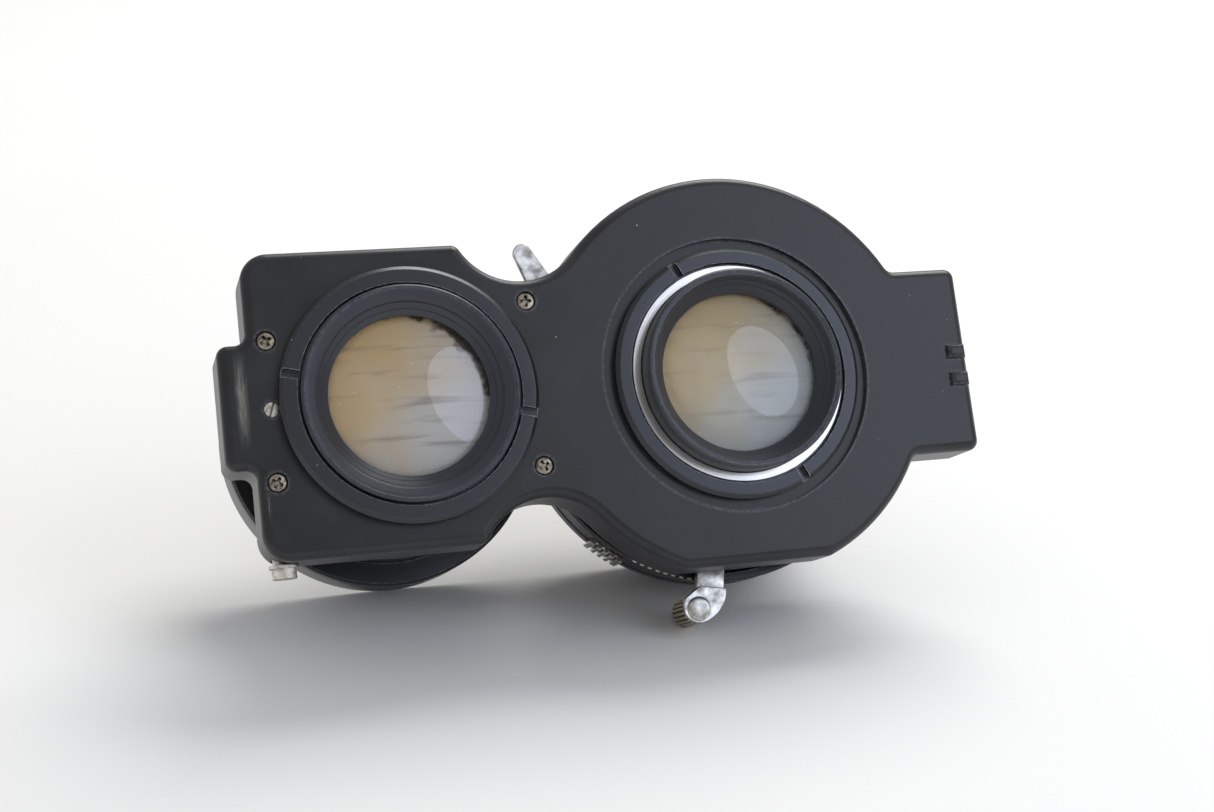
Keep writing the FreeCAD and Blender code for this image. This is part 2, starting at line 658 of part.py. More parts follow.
def blade(label, number, top, opened):
    """Thin leaf that covers a fifth of the opening and turns on a pin at its ear."""
    turn = 360 / BLADES * number
    pivot = Vector(value("blade_pivot * cos(pivot_angle)"), value("blade_pivot * sin(pivot_angle)"), 0)
    swing = Placement(pivot, Rotation(Vector(0, 0, 1), opened)) * Placement(-pivot, Rotation())
    body = new_body(label, turned_by(turn) * swing)
    level = "%s - %d * blade_pitch - blade_thick" % (top, number)
    leaf = sketch(body, level=level)
    add_outline(leaf, [
        ("blade_cover * cos(4)", "blade_cover * sin(4)", "blade_cover", "left"),
        ("blade_cover * cos(80)", "blade_cover * sin(80)", "26", "left"),
        ("-0.4", "-0.4", "1.8", "left"),
        ("2.4", "-1.6", "14", "right"),
    ])
    pad(body, leaf, "blade_thick")
    ear = sketch(body, level=level)
    x = "blade_pivot * cos(pivot_angle)"
    y = "blade_pivot * sin(pivot_angle)"
    add_outline(ear, capsule("(%s / 2)" % x, "(%s / 2)" % y, "(%s)" % x, "(%s)" % y, "ear_radius"))
    pad(body, ear, "blade_thick")
    hole = sketch(body, level=level + " + blade_thick")
    add_circle(hole, x, y, "pivot_pin + pin_gap")
    pocket(body, hole, "blade_thick")


def blades():
    """Five shutter blades, closed at rest, and five iris blades, wide open at rest."""
    for number in range(BLADES):
        blade("shutter_blade_%d" % (number + 1), number, SHUTTER_STACK + " + run_gap / 2", 0.0)
        blade("iris_blade_%d" % (number + 1), number, IRIS_STACK + " + run_gap / 2", -value("blade_swing"))


def shutter_front():
    """Speed ring round the housing, its chrome grips and the cover that keeps it on."""
    washer("speed_ring", "house_radius + run_gap", "speed_radius", "-house_front + run_gap", "-speed_back")
    washer("shutter_cover", "barrel_bore", "cover_radius", "-house_front - cover_thick", "-house_front")
    pattern = doc.addObject("PartDesign::Body", "grip_pattern")
    section = sketch(pattern, "XZ_Plane")
    front = "-house_front + run_gap + grip_inset"
    back = "-speed_back - grip_inset"
    add_outline(section, rectangle("speed_radius", front, "speed_radius + grip_rise", back))
    revolve(pattern, section, "Revolution", "grip_span")
    start = value("grip_span") / 2
    outer = "speed_radius + grip_rise"
    for tooth in range(1, GRIP_TEETH):
        angle = -start + 2 * start * tooth / GRIP_TEETH
        groove = sketch(pattern, level="-speed_back", turn=angle)
        add_outline(groove, [
            (outer + " + 0.2", "-0.36"), (outer + " + 0.2", "0.36"), (outer + " - 0.55", "0.1"),
            (outer + " - 0.55", "-0.1"),
        ])
        pocket(pattern, groove, "house_front - speed_back")
    doc.recompute()
    grips = []
    for turn in (0, 180):
        grip = pattern.Shape.copy()
        grip.Placement = turned_by(value("grip_angle") + turn)
        grips.append(grip)
    group = doc.addObject("Part::Feature", "speed_ring_grips")
    group.Shape = Part.makeCompound(grips)
    group.Label = "speed_ring_grips"
    sub_parts["speed_ring_grips"] = (group, Placement())


# ---- levers ----

def aperture_lever():
    """Bent strap from the aperture ring, with the end plate, the rivet and the knurled knob."""
    turn = turned_by(value("aperture_angle"))
    body = new_body("aperture_lever", turn)
    front = APERTURE_CAM + " - cam_thick"
    strap = sketch(body, level=front)
    add_outline(strap, rectangle("cam_outer - 0.3", "-strap_half", "strap_reach", "strap_half"))
    pad(body, strap, "cam_thick")
    leg = sketch(body, level=front)
    add_outline(leg, rectangle("strap_reach - strap_thick", "-strap_half", "strap_reach", "strap_half"))
    pad(body, leg, "-strap_rear - (%s)" % front)
    plate = sketch(body, level="-strap_rear - strap_thick")
    add_outline(plate, [
        ("strap_reach - strap_thick", "-strap_half"),
        ("knob_reach - 1.5", "-knob_aside - 2.1", "2.45", "left"),
        ("knob_reach + 2", "-knob_aside + 0.85", "5.6", "left"),
        ("strap_reach + 0.2", "strap_half"), ("strap_reach - strap_thick", "strap_half"),
    ])
    pad(body, plate, "strap_thick")

    knob_place = turn * Placement(Vector(value("knob_reach"), -value("knob_aside"), 0), Rotation())
    rear = "-strap_rear - strap_thick"
    front = rear + " - knob_long"
    knob = turned("aperture_knob", [
        ("0", rear), ("0", front), ("knob_radius - 0.3", front), ("knob_radius", front + " + 0.3"),
        ("knob_radius", rear + " - 0.3"), ("knob_radius - 0.3", rear),
    ], knob_place)
    groove = sketch(knob, level=rear)
    add_outline(groove, [
        ("knob_radius - knurl_depth", "0"), ("knob_radius + 0.2", "-knurl_depth"),
        ("knob_radius + 0.2", "knurl_depth"),
    ])
    cut = pocket(knob, groove, "knob_long")
    ring = knob.newObject("PartDesign::PolarPattern", "aperture_knob_knurls")
    ring.Originals = [cut]
    ring.Axis = (groove, ["N_Axis"])
    ring.Angle = 360
    ring.Occurrences = KNURLS
    knob.Tip = ring
    dome_rise = "(rivet_rise - 0.12)"
    dome = "(rivet_radius^2 + %s^2) / 2 / %s" % (dome_rise, dome_rise)
    turned("aperture_rivet", [
        ("0", "-strap_rear + rivet_rise"), ("0", "-strap_rear"), ("rivet_radius", "-strap_rear"),
        ("rivet_radius", "-strap_rear + 0.12", dome, "left"),
    ], knob_place)


def cocking_lever():
    """Flat lever that winds the shutter: seated in the cocking ring, its outer arm bent aside."""
    body = new_body("cocking_lever", turned_by(value("cocking_angle")))
    drawing = sketch(body, level=COCKING_CAM + " - cam_thick")
    ahead = ("cos(cocking_bend)", "-sin(cocking_bend)")
    aside = ("sin(cocking_bend)", "cos(cocking_bend)")
    elbow = ("cocking_reach - cocking_arm * " + ahead[0], "-cocking_arm * " + ahead[1])

    def off(start, way, length):
        return tuple("%s + (%s) * (%s)" % (start[i], length, way[i]) for i in (0, 1))

    tip = ("cocking_reach", "0")
    add_outline(drawing, [
        ("cam_outer - 0.3", "1"),
        off(elbow, aside, "-cocking_half"),
        off(tip, aside, "-cocking_tip") + ("cocking_tip", "left"),
        off(tip, ahead, "cocking_tip") + ("cocking_tip", "left"),
        off(tip, aside, "cocking_tip"),
        off(elbow, aside, "cocking_half"),
        ("cam_outer - 0.9", "5.2"),
    ])
    pad(body, drawing, "cam_thick")


def small_lever(label, angle, reach, pin_label, coil_label):
    """Short pivoted lever in the housing wall, its pivot pin and its torsion spring."""
    turn = turned_by(value(angle))
    body = new_body(label, turn)
    front = COCKING_CAM + " - cam_thick + 0.1"
    drawing = sketch(body, level=front)
    add_outline(drawing, capsule("lever_pivot", "0", reach, "0", "lever_half"))
    thick = "(cam_thick - 0.2)"
    pad(body, drawing, thick)
    hole = sketch(body, level="%s + %s" % (front, thick))
    add_circle(hole, "lever_pivot", "0", "lever_pin + pin_gap")
    pocket(body, hole, thick)
    pivot = turn * Placement(Vector(value("lever_pivot"), 0, 0), Rotation())
    turned(pin_label, rectangle("0", front + " - 0.2", "lever_pin", FLOOR), pivot)
    if coil_label:
        start = Vector(value("lever_pivot"), 0, value(FLOOR + " - run_gap"))
        coil(coil_label, turn * Placement(start, Rotation(Vector(1, 0, 0), 180)))


def coil(label, place):
    """Small torsion coil of round wire about a pin."""
    pitch = value("coil_pitch")
    radius = value("coil_radius")
    helix = Part.makeHelix(pitch, pitch * COIL_TURNS, radius)
    section = Part.Wire(Part.makeCircle(value("coil_wire"), Vector(radius, 0, 0), Vector(0, 1, 0)))
    spring = doc.addObject("Part::Feature", label)
    spring.Shape = Part.Wire(helix.Edges).makePipeShell([section], True, True)
    spring.Label = label
    sub_parts[label] = (spring, place)


def sync_terminal():
    """Flash socket in the side wall: threaded shell, insulator and centre pin."""
    middle = Vector(-value("sync_place"), -value("view_half"), -value("sync_level"))
    place = Placement(middle, Rotation(Vector(1, 0, 0), 90))
    inner = "-board_wall - 1"
    turned("sync_terminal_shell", [
        ("sync_bore", inner), ("sync_thread", inner), ("sync_thread", "0"), ("sync_flange", "0"),
        ("sync_flange", "0.5"), ("sync_barrel", "0.5"), ("sync_barrel", "sync_long"),
        ("sync_bore", "sync_long"),
    ], place)
    washer("sync_terminal_insulator", "sync_pin", "sync_bore", inner, "0.2", place)
    washer("sync_terminal_pin", "0", "sync_pin", inner + " - 0.6", "sync_long - 0.6", place)


# ---- the whole unit ----

lens_board()
front_plate()
board_screws()
ring_set_screw()
retaining_ring(
    "viewing_retaining_ring", "view_tube + thread_gap", "view_ring_outer", "0", "view_ring_tall",
    viewing(167))
retaining_ring(
    "taking_retaining_ring", "take_tube + thread_gap", "take_ring_outer", "-recess_depth", "take_ring_tall",
    turned_by(116.5))
rear_optics()
viewing_barrel()
front_optics()
shutter_housing()
cam_rings()
bearing_plates()
blades()
shutter_front()
aperture_lever()
cocking_lever()
small_lever("release_lever", "release_angle", "release_reach", "release_pin", "release_spring")
small_lever("sync_selector", "select_angle", "select_reach", "selector_pin", None)
sync_terminal()
doc.recompute()

# Resting pose: the unit lies face down on the two front rims and on the aperture knob's front
# edge, so the rear face tilts by the angle of the plane through those three.
for body, place in sub_parts.values():
    body.Placement = place
doc.recompute()
knob_box = sub_parts["aperture_knob"][0].Shape.optimalBoundingBox(True, False)
drop = -value("bezel_radius") - knob_box.YMin
tilt = math.atan2(drop, knob_box.ZMin + value("front_plane"))
lay_down = Placement(Vector(), Rotation(Vector(1, 0, 0), 90 - math.degrees(tilt)))
unit = Part.makeCompound([body.Shape for body, place in sub_parts.values()])
unit.Placement = lay_down
box = unit.optimalBoundingBox(True, False)
shift = Vector(-(box.XMin + box.XMax) / 2, -(box.YMin + box.YMax) / 2, -box.ZMin)
rest = Placement(shift, lay_down.Rotation)
for body, place in sub_parts.values():
    body.Placement = rest * place
doc.recompute()

faults = []
for thing in doc.Objects:
    if any(word in ("Invalid", "Error") for word in thing.State):
        faults.append("%s: %s" % (thing.Label, thing.State))
for label, (body, place) in sub_parts.items():
    if body.Shape.isNull() or not body.Shape.isValid() or body.Shape.Volume <= 0:
        faults.append("%s: bad shape" % label)
if faults:
    raise SystemExit("not written: " + "; ".join(faults))

os.makedirs("parts", exist_ok=True)
for label, (body, place) in sub_parts.items():
    body.Shape.exportStep("parts/%s.step" % label)
print("tilt %.4f deg, rest shift %.4f %.4f %.4f" % (math.degrees(tilt), shift.x, shift.y, shift.z))
print("box %.2f x %.2f x %.2f mm, %d sub-parts" % (box.XLength, box.YLength, box.ZLength, len(sub_parts)))
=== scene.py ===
import json
import math
import bmesh
import bpy
from mathutils import Matrix, Vector


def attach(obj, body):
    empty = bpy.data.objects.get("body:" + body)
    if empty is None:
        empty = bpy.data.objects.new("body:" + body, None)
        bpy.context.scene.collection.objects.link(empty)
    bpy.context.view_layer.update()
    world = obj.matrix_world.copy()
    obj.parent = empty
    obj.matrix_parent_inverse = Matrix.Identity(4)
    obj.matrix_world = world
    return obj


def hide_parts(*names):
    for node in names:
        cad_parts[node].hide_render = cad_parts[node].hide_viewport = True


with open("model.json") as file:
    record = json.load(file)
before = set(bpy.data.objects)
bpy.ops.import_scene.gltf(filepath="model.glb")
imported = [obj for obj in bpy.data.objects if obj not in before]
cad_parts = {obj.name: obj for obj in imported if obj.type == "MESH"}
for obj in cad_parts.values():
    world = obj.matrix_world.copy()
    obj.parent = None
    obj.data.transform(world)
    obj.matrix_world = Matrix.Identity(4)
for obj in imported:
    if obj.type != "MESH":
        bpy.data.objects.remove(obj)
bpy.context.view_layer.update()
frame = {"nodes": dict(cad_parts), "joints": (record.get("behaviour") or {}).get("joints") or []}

# ---- Lens board ----
# A die-cast aluminium pan that carries both lenses, sprayed and stoved semi-matt black. Years of use have
# rubbed its edges to a paler grey and left a bright streak beside the outer tab. Every piece is drawn in
# millimetres about the taking axis: X along the board, Y across it, Z towards the rear.

speed_hinge = next(joint for joint in frame["joints"] if joint["name"] == "speed_turn")
rearward = Vector(speed_hinge["axis"])
along = Vector((1, 0, 0))
taking_axis = Matrix((along, rearward.cross(along), rearward)).transposed().to_4x4()
taking_axis.translation = speed_hinge["pos_m"]
taking_axis = taking_axis @ Matrix.Scale(0.001, 4)
axis_spacing = 50
viewing_axis = taking_axis @ Matrix.Translation((-axis_spacing, 0, 0))


def colour(text):
    """An sRGB hex value as linear red, green, blue and alpha."""
    shares = [int(text[i:i + 2], 16) / 255 for i in (1, 3, 5)]
    return [s / 12.92 if s <= 0.04045 else ((s + 0.055) / 1.055) ** 2.4 for s in shares] + [1]


def add(tree, kind, values=None, links=None, **settings):
    """One shader node with its settings, socket values and incoming links."""
    node = tree.nodes.new("ShaderNode" + kind)
    for key, setting in settings.items():
        setattr(node, key, setting)
    for socket, number in (values or {}).items():
        node.inputs[socket].default_value = number
    for socket, source in (links or {}).items():
        tree.links.new(source, node.inputs[socket])
    return node


def new_finish(name):
    """An empty material and its node tree."""
    material = bpy.data.materials.new(name)
    material.use_nodes = True
    material.node_tree.nodes.clear()
    return material, material.node_tree


def millimetres(tree, axis):
    """Object coordinates turned into the frame of one lens, in millimetres."""
    spot, turn, size = axis.decompose()
    where = add(tree, "TexCoord")
    return add(tree, "Mapping", {"Location": spot, "Rotation": turn.to_euler(), "Scale": size},
               {"Vector": where.outputs["Object"]}, vector_type="TEXTURE").outputs[0]


def near_edge(tree, reach, low, high):
    """0 on a flat, rising to 1 on an outer edge."""
    rounded = add(tree, "Bevel", {"Radius": reach * 0.001}, samples=6)
    surface = add(tree, "NewGeometry")
    facing = add(tree, "VectorMath", None, {0: rounded.outputs[0], 1: surface.outputs["Normal"]},
                 operation="DOT_PRODUCT")
    return add(tree, "MapRange", {"From Min": 1 - low, "From Max": 1 - high},
               {"Value": facing.outputs["Value"]}, interpolation_type="SMOOTHSTEP").outputs[0]


def edge_wear_and_highlight(tree, reach, low, high):
    """How far each edge is rubbed, broken up by half-millimetre patches. On the black rings the same mask
    also carries a painted highlight.
    """
    rubbed = near_edge(tree, reach, low, high)
    patches = add(tree, "TexNoise", {"Scale": 2.0, "Detail": 4.0},
                  {"Vector": millimetres(tree, taking_axis)})
    broken = add(tree, "MapRange", {"From Min": 0.35, "From Max": 0.65}, {"Value": patches.outputs["Fac"]})
    return add(tree, "Math", None, {0: rubbed, 1: broken.outputs[0]}, operation="MULTIPLY").outputs[0]


def settled_dust(tree, spot, per_millimetre, grain, bare):
    """Small specks, of which the given share is left out."""
    cells = add(tree, "TexVoronoi", {"Scale": per_millimetre}, {"Vector": spot})
    near = add(tree, "Math", {1: grain}, {0: cells.outputs["Distance"]}, operation="LESS_THAN")
    pick = add(tree, "SeparateXYZ", None, {0: cells.outputs["Color"]})
    some = add(tree, "Math", {1: bare}, {0: pick.outputs[0]}, operation="GREATER_THAN")
    return add(tree, "Math", None, {0: near.outputs[0], 1: some.outputs[0]}, operation="MULTIPLY").outputs[0]


def stove_enamel():
    """Semi-matt, slightly mottled, with 0.4 mm orange peel, settled dust and rubbed edges."""
    material, tree = new_finish("enamel_sprayed_and_stoved")
    spot = millimetres(tree, taking_axis)
    cloud = add(tree, "TexNoise", {"Scale": 0.09, "Detail": 5.0, "Roughness": 0.6}, {"Vector": spot})
    clouded = add(tree, "MapRange", {"From Min": 0.35, "From Max": 0.7}, {"Value": cloud.outputs["Fac"]})
    tone = add(tree, "Mix", {6: colour("#141518"), 7: colour("#26272b")},
               {0: clouded.outputs[0]}, data_type="RGBA").outputs[2]
    tone = add(tree, "Mix", {7: colour("#5c5d61")},
               {0: edge_wear_and_highlight(tree, 0.9, 0.004, 0.06), 6: tone}, data_type="RGBA").outputs[2]

    streak_along, streak_across = -73.7, 1.0
    parts = add(tree, "SeparateXYZ", None, {0: spot})
    beside = add(tree, "Math", {1: -streak_along}, {0: parts.outputs[0]}, operation="ADD")
    beside = add(tree, "Math", None, {0: beside.outputs[0]}, operation="ABSOLUTE")
    narrow = add(tree, "MapRange", {"From Min": 0.1, "From Max": 1.1, "To Min": 1.0, "To Max": 0.0},
                 {"Value": beside.outputs[0]}, interpolation_type="SMOOTHSTEP")
    level = add(tree, "Math", {1: -streak_across}, {0: parts.outputs[1]}, operation="ADD")
    level = add(tree, "Math", None, {0: level.outputs[0]}, operation="ABSOLUTE")
    long = add(tree, "MapRange", {"From Min": 1.0, "From Max": 8.0, "To Min": 1.0, "To Max": 0.0},
               {"Value": level.outputs[0]}, interpolation_type="SMOOTHSTEP")
    stretched = add(tree, "Mapping", {"Scale": (3.0, 0.4, 1.0)}, {"Vector": spot})
    streaky = add(tree, "TexNoise", {"Scale": 0.8, "Detail": 5.0}, {"Vector": stretched.outputs[0]})
    streaky = add(tree, "MapRange", {"From Min": 0.25, "From Max": 0.7}, {"Value": streaky.outputs["Fac"]})
    streak = add(tree, "Math", None, {0: narrow.outputs[0], 1: long.outputs[0]}, operation="MULTIPLY")
    streak = add(tree, "Math", None, {0: streak.outputs[0], 1: streaky.outputs[0]}, operation="MULTIPLY")
    tone = add(tree, "Mix", {7: colour("#8b8983")},
               {0: streak.outputs[0], 6: tone}, data_type="RGBA").outputs[2]

    dust = settled_dust(tree, spot, 0.33, 0.045, 0.72)
    tone = add(tree, "Mix", {7: colour("#a9a8a4")}, {0: dust, 6: tone}, data_type="RGBA").outputs[2]

    peel = add(tree, "TexNoise", {"Scale": 2.5, "Detail": 3.0}, {"Vector": spot})
    rough = add(tree, "MapRange", {"To Min": 0.3, "To Max": 0.44}, {"Value": cloud.outputs["Fac"]})
    bump = add(tree, "Bump", {"Strength": 0.5, "Distance": 0.000012}, {"Height": peel.outputs["Fac"]})
    paint = add(tree, "BsdfPrincipled", {"IOR": 1.5},
                {"Base Color": tone, "Roughness": rough.outputs[0], "Normal": bump.outputs[0]})
    add(tree, "OutputMaterial", None, {0: paint.outputs[0]})
    return material


enamel = stove_enamel()


def cast(node, softening=0.0, corner=30):
    """The shape of one metal part with its edges broken by a small round, in millimetres."""
    piece = bmesh.new()
    piece.from_mesh(frame["nodes"][node].data)
    piece.transform(taking_axis.inverted())
    bmesh.ops.remove_doubles(piece, verts=piece.verts, dist=0.0005)
    bmesh.ops.dissolve_limit(piece, angle_limit=math.radians(0.2), verts=piece.verts, edges=piece.edges)
    if softening:
        hard = [e for e in piece.edges if e.is_manifold and e.calc_face_angle() > math.radians(corner)]
        bmesh.ops.bevel(piece, geom=hard, offset=softening, offset_type="OFFSET", affect="EDGES", segments=2,
                        profile=0.5, material=-1, clamp_overlap=True)
    return piece


def recoat(node, material):
    """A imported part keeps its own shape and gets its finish."""
    coats = frame["nodes"][node].data.materials
    coats.clear()
    coats.append(material)


def finish(name, piece, axis, material, body, slot, *nodes, crease=35):
    """Puts a piece in its place on a body, with its finish, for the nodes it stands for."""
    piece.transform(axis)
    mesh = bpy.data.meshes.new(name)
    piece.to_mesh(mesh)
    piece.free()
    mesh.shade_smooth()
    mesh.set_sharp_from_angle(angle=math.radians(crease))
    mesh.materials.append(material)
    thing = bpy.data.objects.new(name, mesh)
    bpy.context.scene.collection.objects.link(thing)
    thing.modifiers.new("even_shading", "WEIGHTED_NORMAL").keep_sharp = True
    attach(thing, body)
    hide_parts(*nodes)


finish("board_shell", cast("lens_board"), taking_axis, enamel, "lens_unit", "board_paint", "lens_board")
finish("board_closing_plate", cast("front_plate", 0.1), taking_axis, enamel, "lens_unit", "board_paint",
       "front_plate")

# ---- Board screws ----
# Four small countersunk cross-head screws and one slotted grub screw that locks the viewing ring, all
# nickel-plated steel. The plating has gone brown and dull, and the recesses carry painted shade.


def plated_nickel(name, clean, dull):
    """Warm grey metal with brown patches about a millimetre wide, and painted shade, near black, in its
    hollows.
    """
    material, tree = new_finish(name)
    spot = millimetres(tree, taking_axis)
    patches = add(tree, "TexNoise", {"Scale": 1.1, "Detail": 4.0}, {"Vector": spot})
    patchy = add(tree, "MapRange", {"From Min": 0.4, "From Max": 0.65}, {"Value": patches.outputs["Fac"]})
    tone = add(tree, "Mix", {6: colour(clean), 7: colour(dull)},
               {0: patchy.outputs[0]}, data_type="RGBA").outputs[2]
    # Painted shade: near black wherever the ambient occlusion finds a hollow.
    hollow = add(tree, "AmbientOcclusion", {"Distance": 0.0005}, None, samples=4)
    painted_hollow_shade = add(tree, "MapRange", {"From Min": 0.75, "From Max": 0.35}, {"Value": hollow.outputs["AO"]})
    tone = add(tree, "Mix", {7: colour("#120e0b")},
               {0: painted_hollow_shade.outputs[0], 6: tone}, data_type="RGBA").outputs[2]
    rough = add(tree, "MapRange", {"To Min": 0.3, "To Max": 0.55}, {"Value": patches.outputs["Fac"]})
    grain = add(tree, "TexNoise", {"Scale": 9.0, "Detail": 2.0}, {"Vector": spot})
    bump = add(tree, "Bump", {"Strength": 0.4, "Distance": 0.000008}, {"Height": grain.outputs["Fac"]})
    metal = add(tree, "BsdfPrincipled", {"Metallic": 1.0},
                {"Base Color": tone, "Roughness": rough.outputs[0], "Normal": bump.outputs[0]})
    add(tree, "OutputMaterial", None, {0: metal.outputs[0]})
    return material


nickel = plated_nickel("nickel_plated_tarnished", "#b3aa9b", "#6f6457")
clean_nickel = plated_nickel("nickel_plated_clean", "#e4e0d8", "#a8a195")


def turned(outline, rounding=0.1, steps=160, closed=True):
    """A piece spun about the lens axis from a half section of (radius, level) points, its corners broken."""
    piece = bmesh.new()
    corners = [piece.verts.new((radius, 0, level)) for radius, level in outline]
    followers = corners[1:] + corners[:1] if closed else corners[1:]
    for pair in zip(corners, followers):
        piece.edges.new(pair)
    if rounding:
        sharp = corners if closed else corners[1:-1]
        bmesh.ops.bevel(piece, geom=sharp, offset=rounding, offset_type="OFFSET", affect="VERTICES",
                        segments=2, profile=0.5, material=-1, clamp_overlap=True)
    bmesh.ops.spin(piece, geom=piece.verts[:] + piece.edges[:], cent=(0, 0, 0), axis=(0, 0, 1),
                   angle=2 * math.pi, steps=steps, use_merge=True)
    bmesh.ops.remove_doubles(piece, verts=piece.verts, dist=0.0005)
    bmesh.ops.recalc_face_normals(piece, faces=piece.faces)
    return piece


def block(length, width, height, middle, turn=0.0, taper=1.0):
    """A box whose lower face is the given share of its upper one."""
    piece = bmesh.new()
    bmesh.ops.create_cube(piece, size=1)
    for corner in piece.verts:
        if corner.co.z < 0:
            corner.co.x *= taper
            corner.co.y *= taper
    piece.transform(Matrix.Translation(middle) @ Matrix.Rotation(math.radians(turn), 4, "Z")
                    @ Matrix.Diagonal((length, width, height, 1)))
    return piece


def cut(piece, cutter):
    """Takes a closed cutter out of a closed piece."""
    pair = []
    for source in (piece, cutter):
        mesh = bpy.data.meshes.new("cut")
        source.to_mesh(mesh)
        source.free()
        pair.append(bpy.data.objects.new("cut", mesh))
        bpy.context.scene.collection.objects.link(pair[-1])
    taking_out = pair[0].modifiers.new("cut", "BOOLEAN")
    taking_out.object = pair[1]
    taking_out.solver = "EXACT"
    result = bmesh.new()
    result.from_object(pair[0], bpy.context.evaluated_depsgraph_get())
    for thing in pair:
        mesh = thing.data
        bpy.data.objects.remove(thing)
        bpy.data.meshes.remove(mesh)
    return result


def join(pieces):
    """Several pieces as one."""
    whole = bmesh.new()
    mesh = bpy.data.meshes.new("joined")
    for piece in pieces:
        piece.to_mesh(mesh)
        piece.free()
        whole.from_mesh(mesh)
    bpy.data.meshes.remove(mesh)
    return whole


def cross_head_screw():
    """A shallow domed head with a tapered cross, on a plain shank."""
    head_radius, shank_radius, length = 1.35, 0.8, 7.0
    cross_long, cross_wide, cross_taper = 1.95, 0.56, 0.7
    head = turned([(0, -0.02), (0.7, -0.05), (1.15, -0.14), (head_radius, -0.28), (head_radius, -0.55),
                   (shank_radius, -0.55), (shank_radius, -length), (0, -length)], 0.05, 48, closed=False)
    for turn in (0, 90):
        head = cut(head, block(cross_long, cross_wide, 1.0, (0, 0, -0.1), turn, cross_taper))
    return head


screw_places = (-69.7, 9.2), (-69.8, -11.1), (-31.4, 12.9), (-31.4, -11.7)
first_turn, further_turn = 27, 31
screws = []
for number, (x, y) in enumerate(screw_places):
    screw = cross_head_screw()
    turn = math.radians(first_turn + further_turn * number)
    screw.transform(Matrix.Translation((x, y, 0)) @ Matrix.Rotation(turn, 4, "Z"))
    screws.append(screw)
finish("board_cross_head_screws", join(screws), taking_axis, nickel, "lens_unit", "nickel", "board_screws")

grub_radius, grub_long, grub_turn = 1.1, 1.4, 70
grub_outline = (0, 0.0), (grub_radius, 0.0), (grub_radius, -grub_long), (0, -grub_long)
grub = turned(grub_outline, 0.12, 48, closed=False)
grub = cut(grub, block(3.0, 0.3, 0.6, (0, 0, 0), grub_turn))
grub.transform(Matrix.Translation((-69.7, -0.7, -0.05)))
finish("ring_grub_screw", grub, taking_axis, clean_nickel, "lens_unit", "nickel", "ring_set_screw")

# ---- Retaining rings ----
# Two turned aluminium rings, anodised satin black, clamp the lenses to the board. Each has two spanner slots,
# a chamfered rim that catches a cool light, and lathe lines that run round it.


def from_axis(tree, spot):
    """How far a spot is from the lens axis."""
    flat = add(tree, "VectorMath", {1: (1, 1, 0)}, {0: spot}, operation="MULTIPLY")
    return add(tree, "VectorMath", None, {0: flat.outputs[0]}, operation="LENGTH").outputs["Value"]


def lathe_path(tree, spot):
    """Coordinates that stay the same all the way round, so that a pattern on them runs in rings."""
    level = add(tree, "SeparateXYZ", None, {0: spot}).outputs[2]
    return add(tree, "CombineXYZ", None, {0: from_axis(tree, spot), 2: level}).outputs[0]


def turned_black(name, axis, tone, sheen, line=4.0, rough=(0.26, 0.42)):
    """Black anodising over a turned surface: dark, cool in the light, with fine rings, and edges painted
    pale, partly as wear and partly as a painted highlight.
    The rings are drawn a quarter of a millimetre wide, since real ones are too fine to show."""
    material, tree = new_finish(name)
    spot = millimetres(tree, axis)
    rings = add(tree, "TexNoise", {"Scale": line, "Detail": 3.0}, {"Vector": lathe_path(tree, spot)})
    cloud = add(tree, "TexNoise", {"Scale": 0.25, "Detail": 4.0}, {"Vector": spot})
    base = add(tree, "Mix", {6: colour(tone), 7: colour(sheen)},
               {0: cloud.outputs["Fac"]}, data_type="RGBA").outputs[2]
    # Edges painted pale grey: partly wear, partly a painted highlight.
    base = add(tree, "Mix", {7: colour("#a3a6ad")},
               {0: edge_wear_and_highlight(tree, 0.3, 0.005, 0.12), 6: base}, data_type="RGBA").outputs[2]
    dust = settled_dust(tree, spot, 0.5, 0.05, 0.8)
    base = add(tree, "Mix", {7: colour("#9fa0a0")}, {0: dust, 6: base}, data_type="RGBA").outputs[2]
    gloss = add(tree, "MapRange", {"To Min": rough[0], "To Max": rough[1]}, {"Value": rings.outputs["Fac"]})
    bump = add(tree, "Bump", {"Strength": 0.35, "Distance": 0.000012}, {"Height": rings.outputs["Fac"]})
    film = add(tree, "BsdfPrincipled", {"IOR": 1.65, "Specular Tint": colour("#f0f4ff")},
               {"Base Color": base, "Roughness": gloss.outputs[0], "Normal": bump.outputs[0]})
    add(tree, "OutputMaterial", None, {0: film.outputs[0]})
    return material


viewing_black = turned_black("aluminium_turned_black_anodised_viewing", viewing_axis, "#0c0d0e", "#191a1c")
taking_black = turned_black("aluminium_turned_black_anodised_taking", taking_axis, "#0c0d0e", "#191a1c")


def slotted_ring(inner, outer, level, top, turn):
    """A chamfered ring with one slot milled right across it, which leaves two notches."""
    chamfer, slot_wide, slot_deep = 0.6, 1.2, 1.0
    ring = turned([(inner, level), (outer, level), (outer, top - chamfer), (outer - chamfer, top),
                   (inner, top)], 0.07)
    return cut(ring, block(2 * outer + 2, slot_wide, 2 * slot_deep, (0, 0, top), turn))


finish("viewing_slotted_ring", slotted_ring(16.15, 18.7, 0.0, 2.0, 167), viewing_axis, viewing_black,
       "lens_unit", "black_anodised", "viewing_retaining_ring")
finish("taking_slotted_ring", slotted_ring(16.85, 19.2, -0.8, 1.0, 116.5), taking_axis, taking_black,
       "lens_unit", "black_anodised", "taking_retaining_ring")

# ---- Rear cells ----
# Threaded black cells that hold the rear glass. A turned lip stands above each ring, its fine edge painted
# bright, partly as wear and partly as a painted highlight, and inside it a stepped cone, finely threaded
# against stray light, runs down to the glass.

matt_black = "#1a1b1f", "#2a2d35", 3.0, (0.34, 0.5)
viewing_cone = turned_black("aluminium_turned_matt_black_viewing", viewing_axis, *matt_black)
taking_cone = turned_black("aluminium_turned_matt_black_taking", taking_axis, *matt_black)

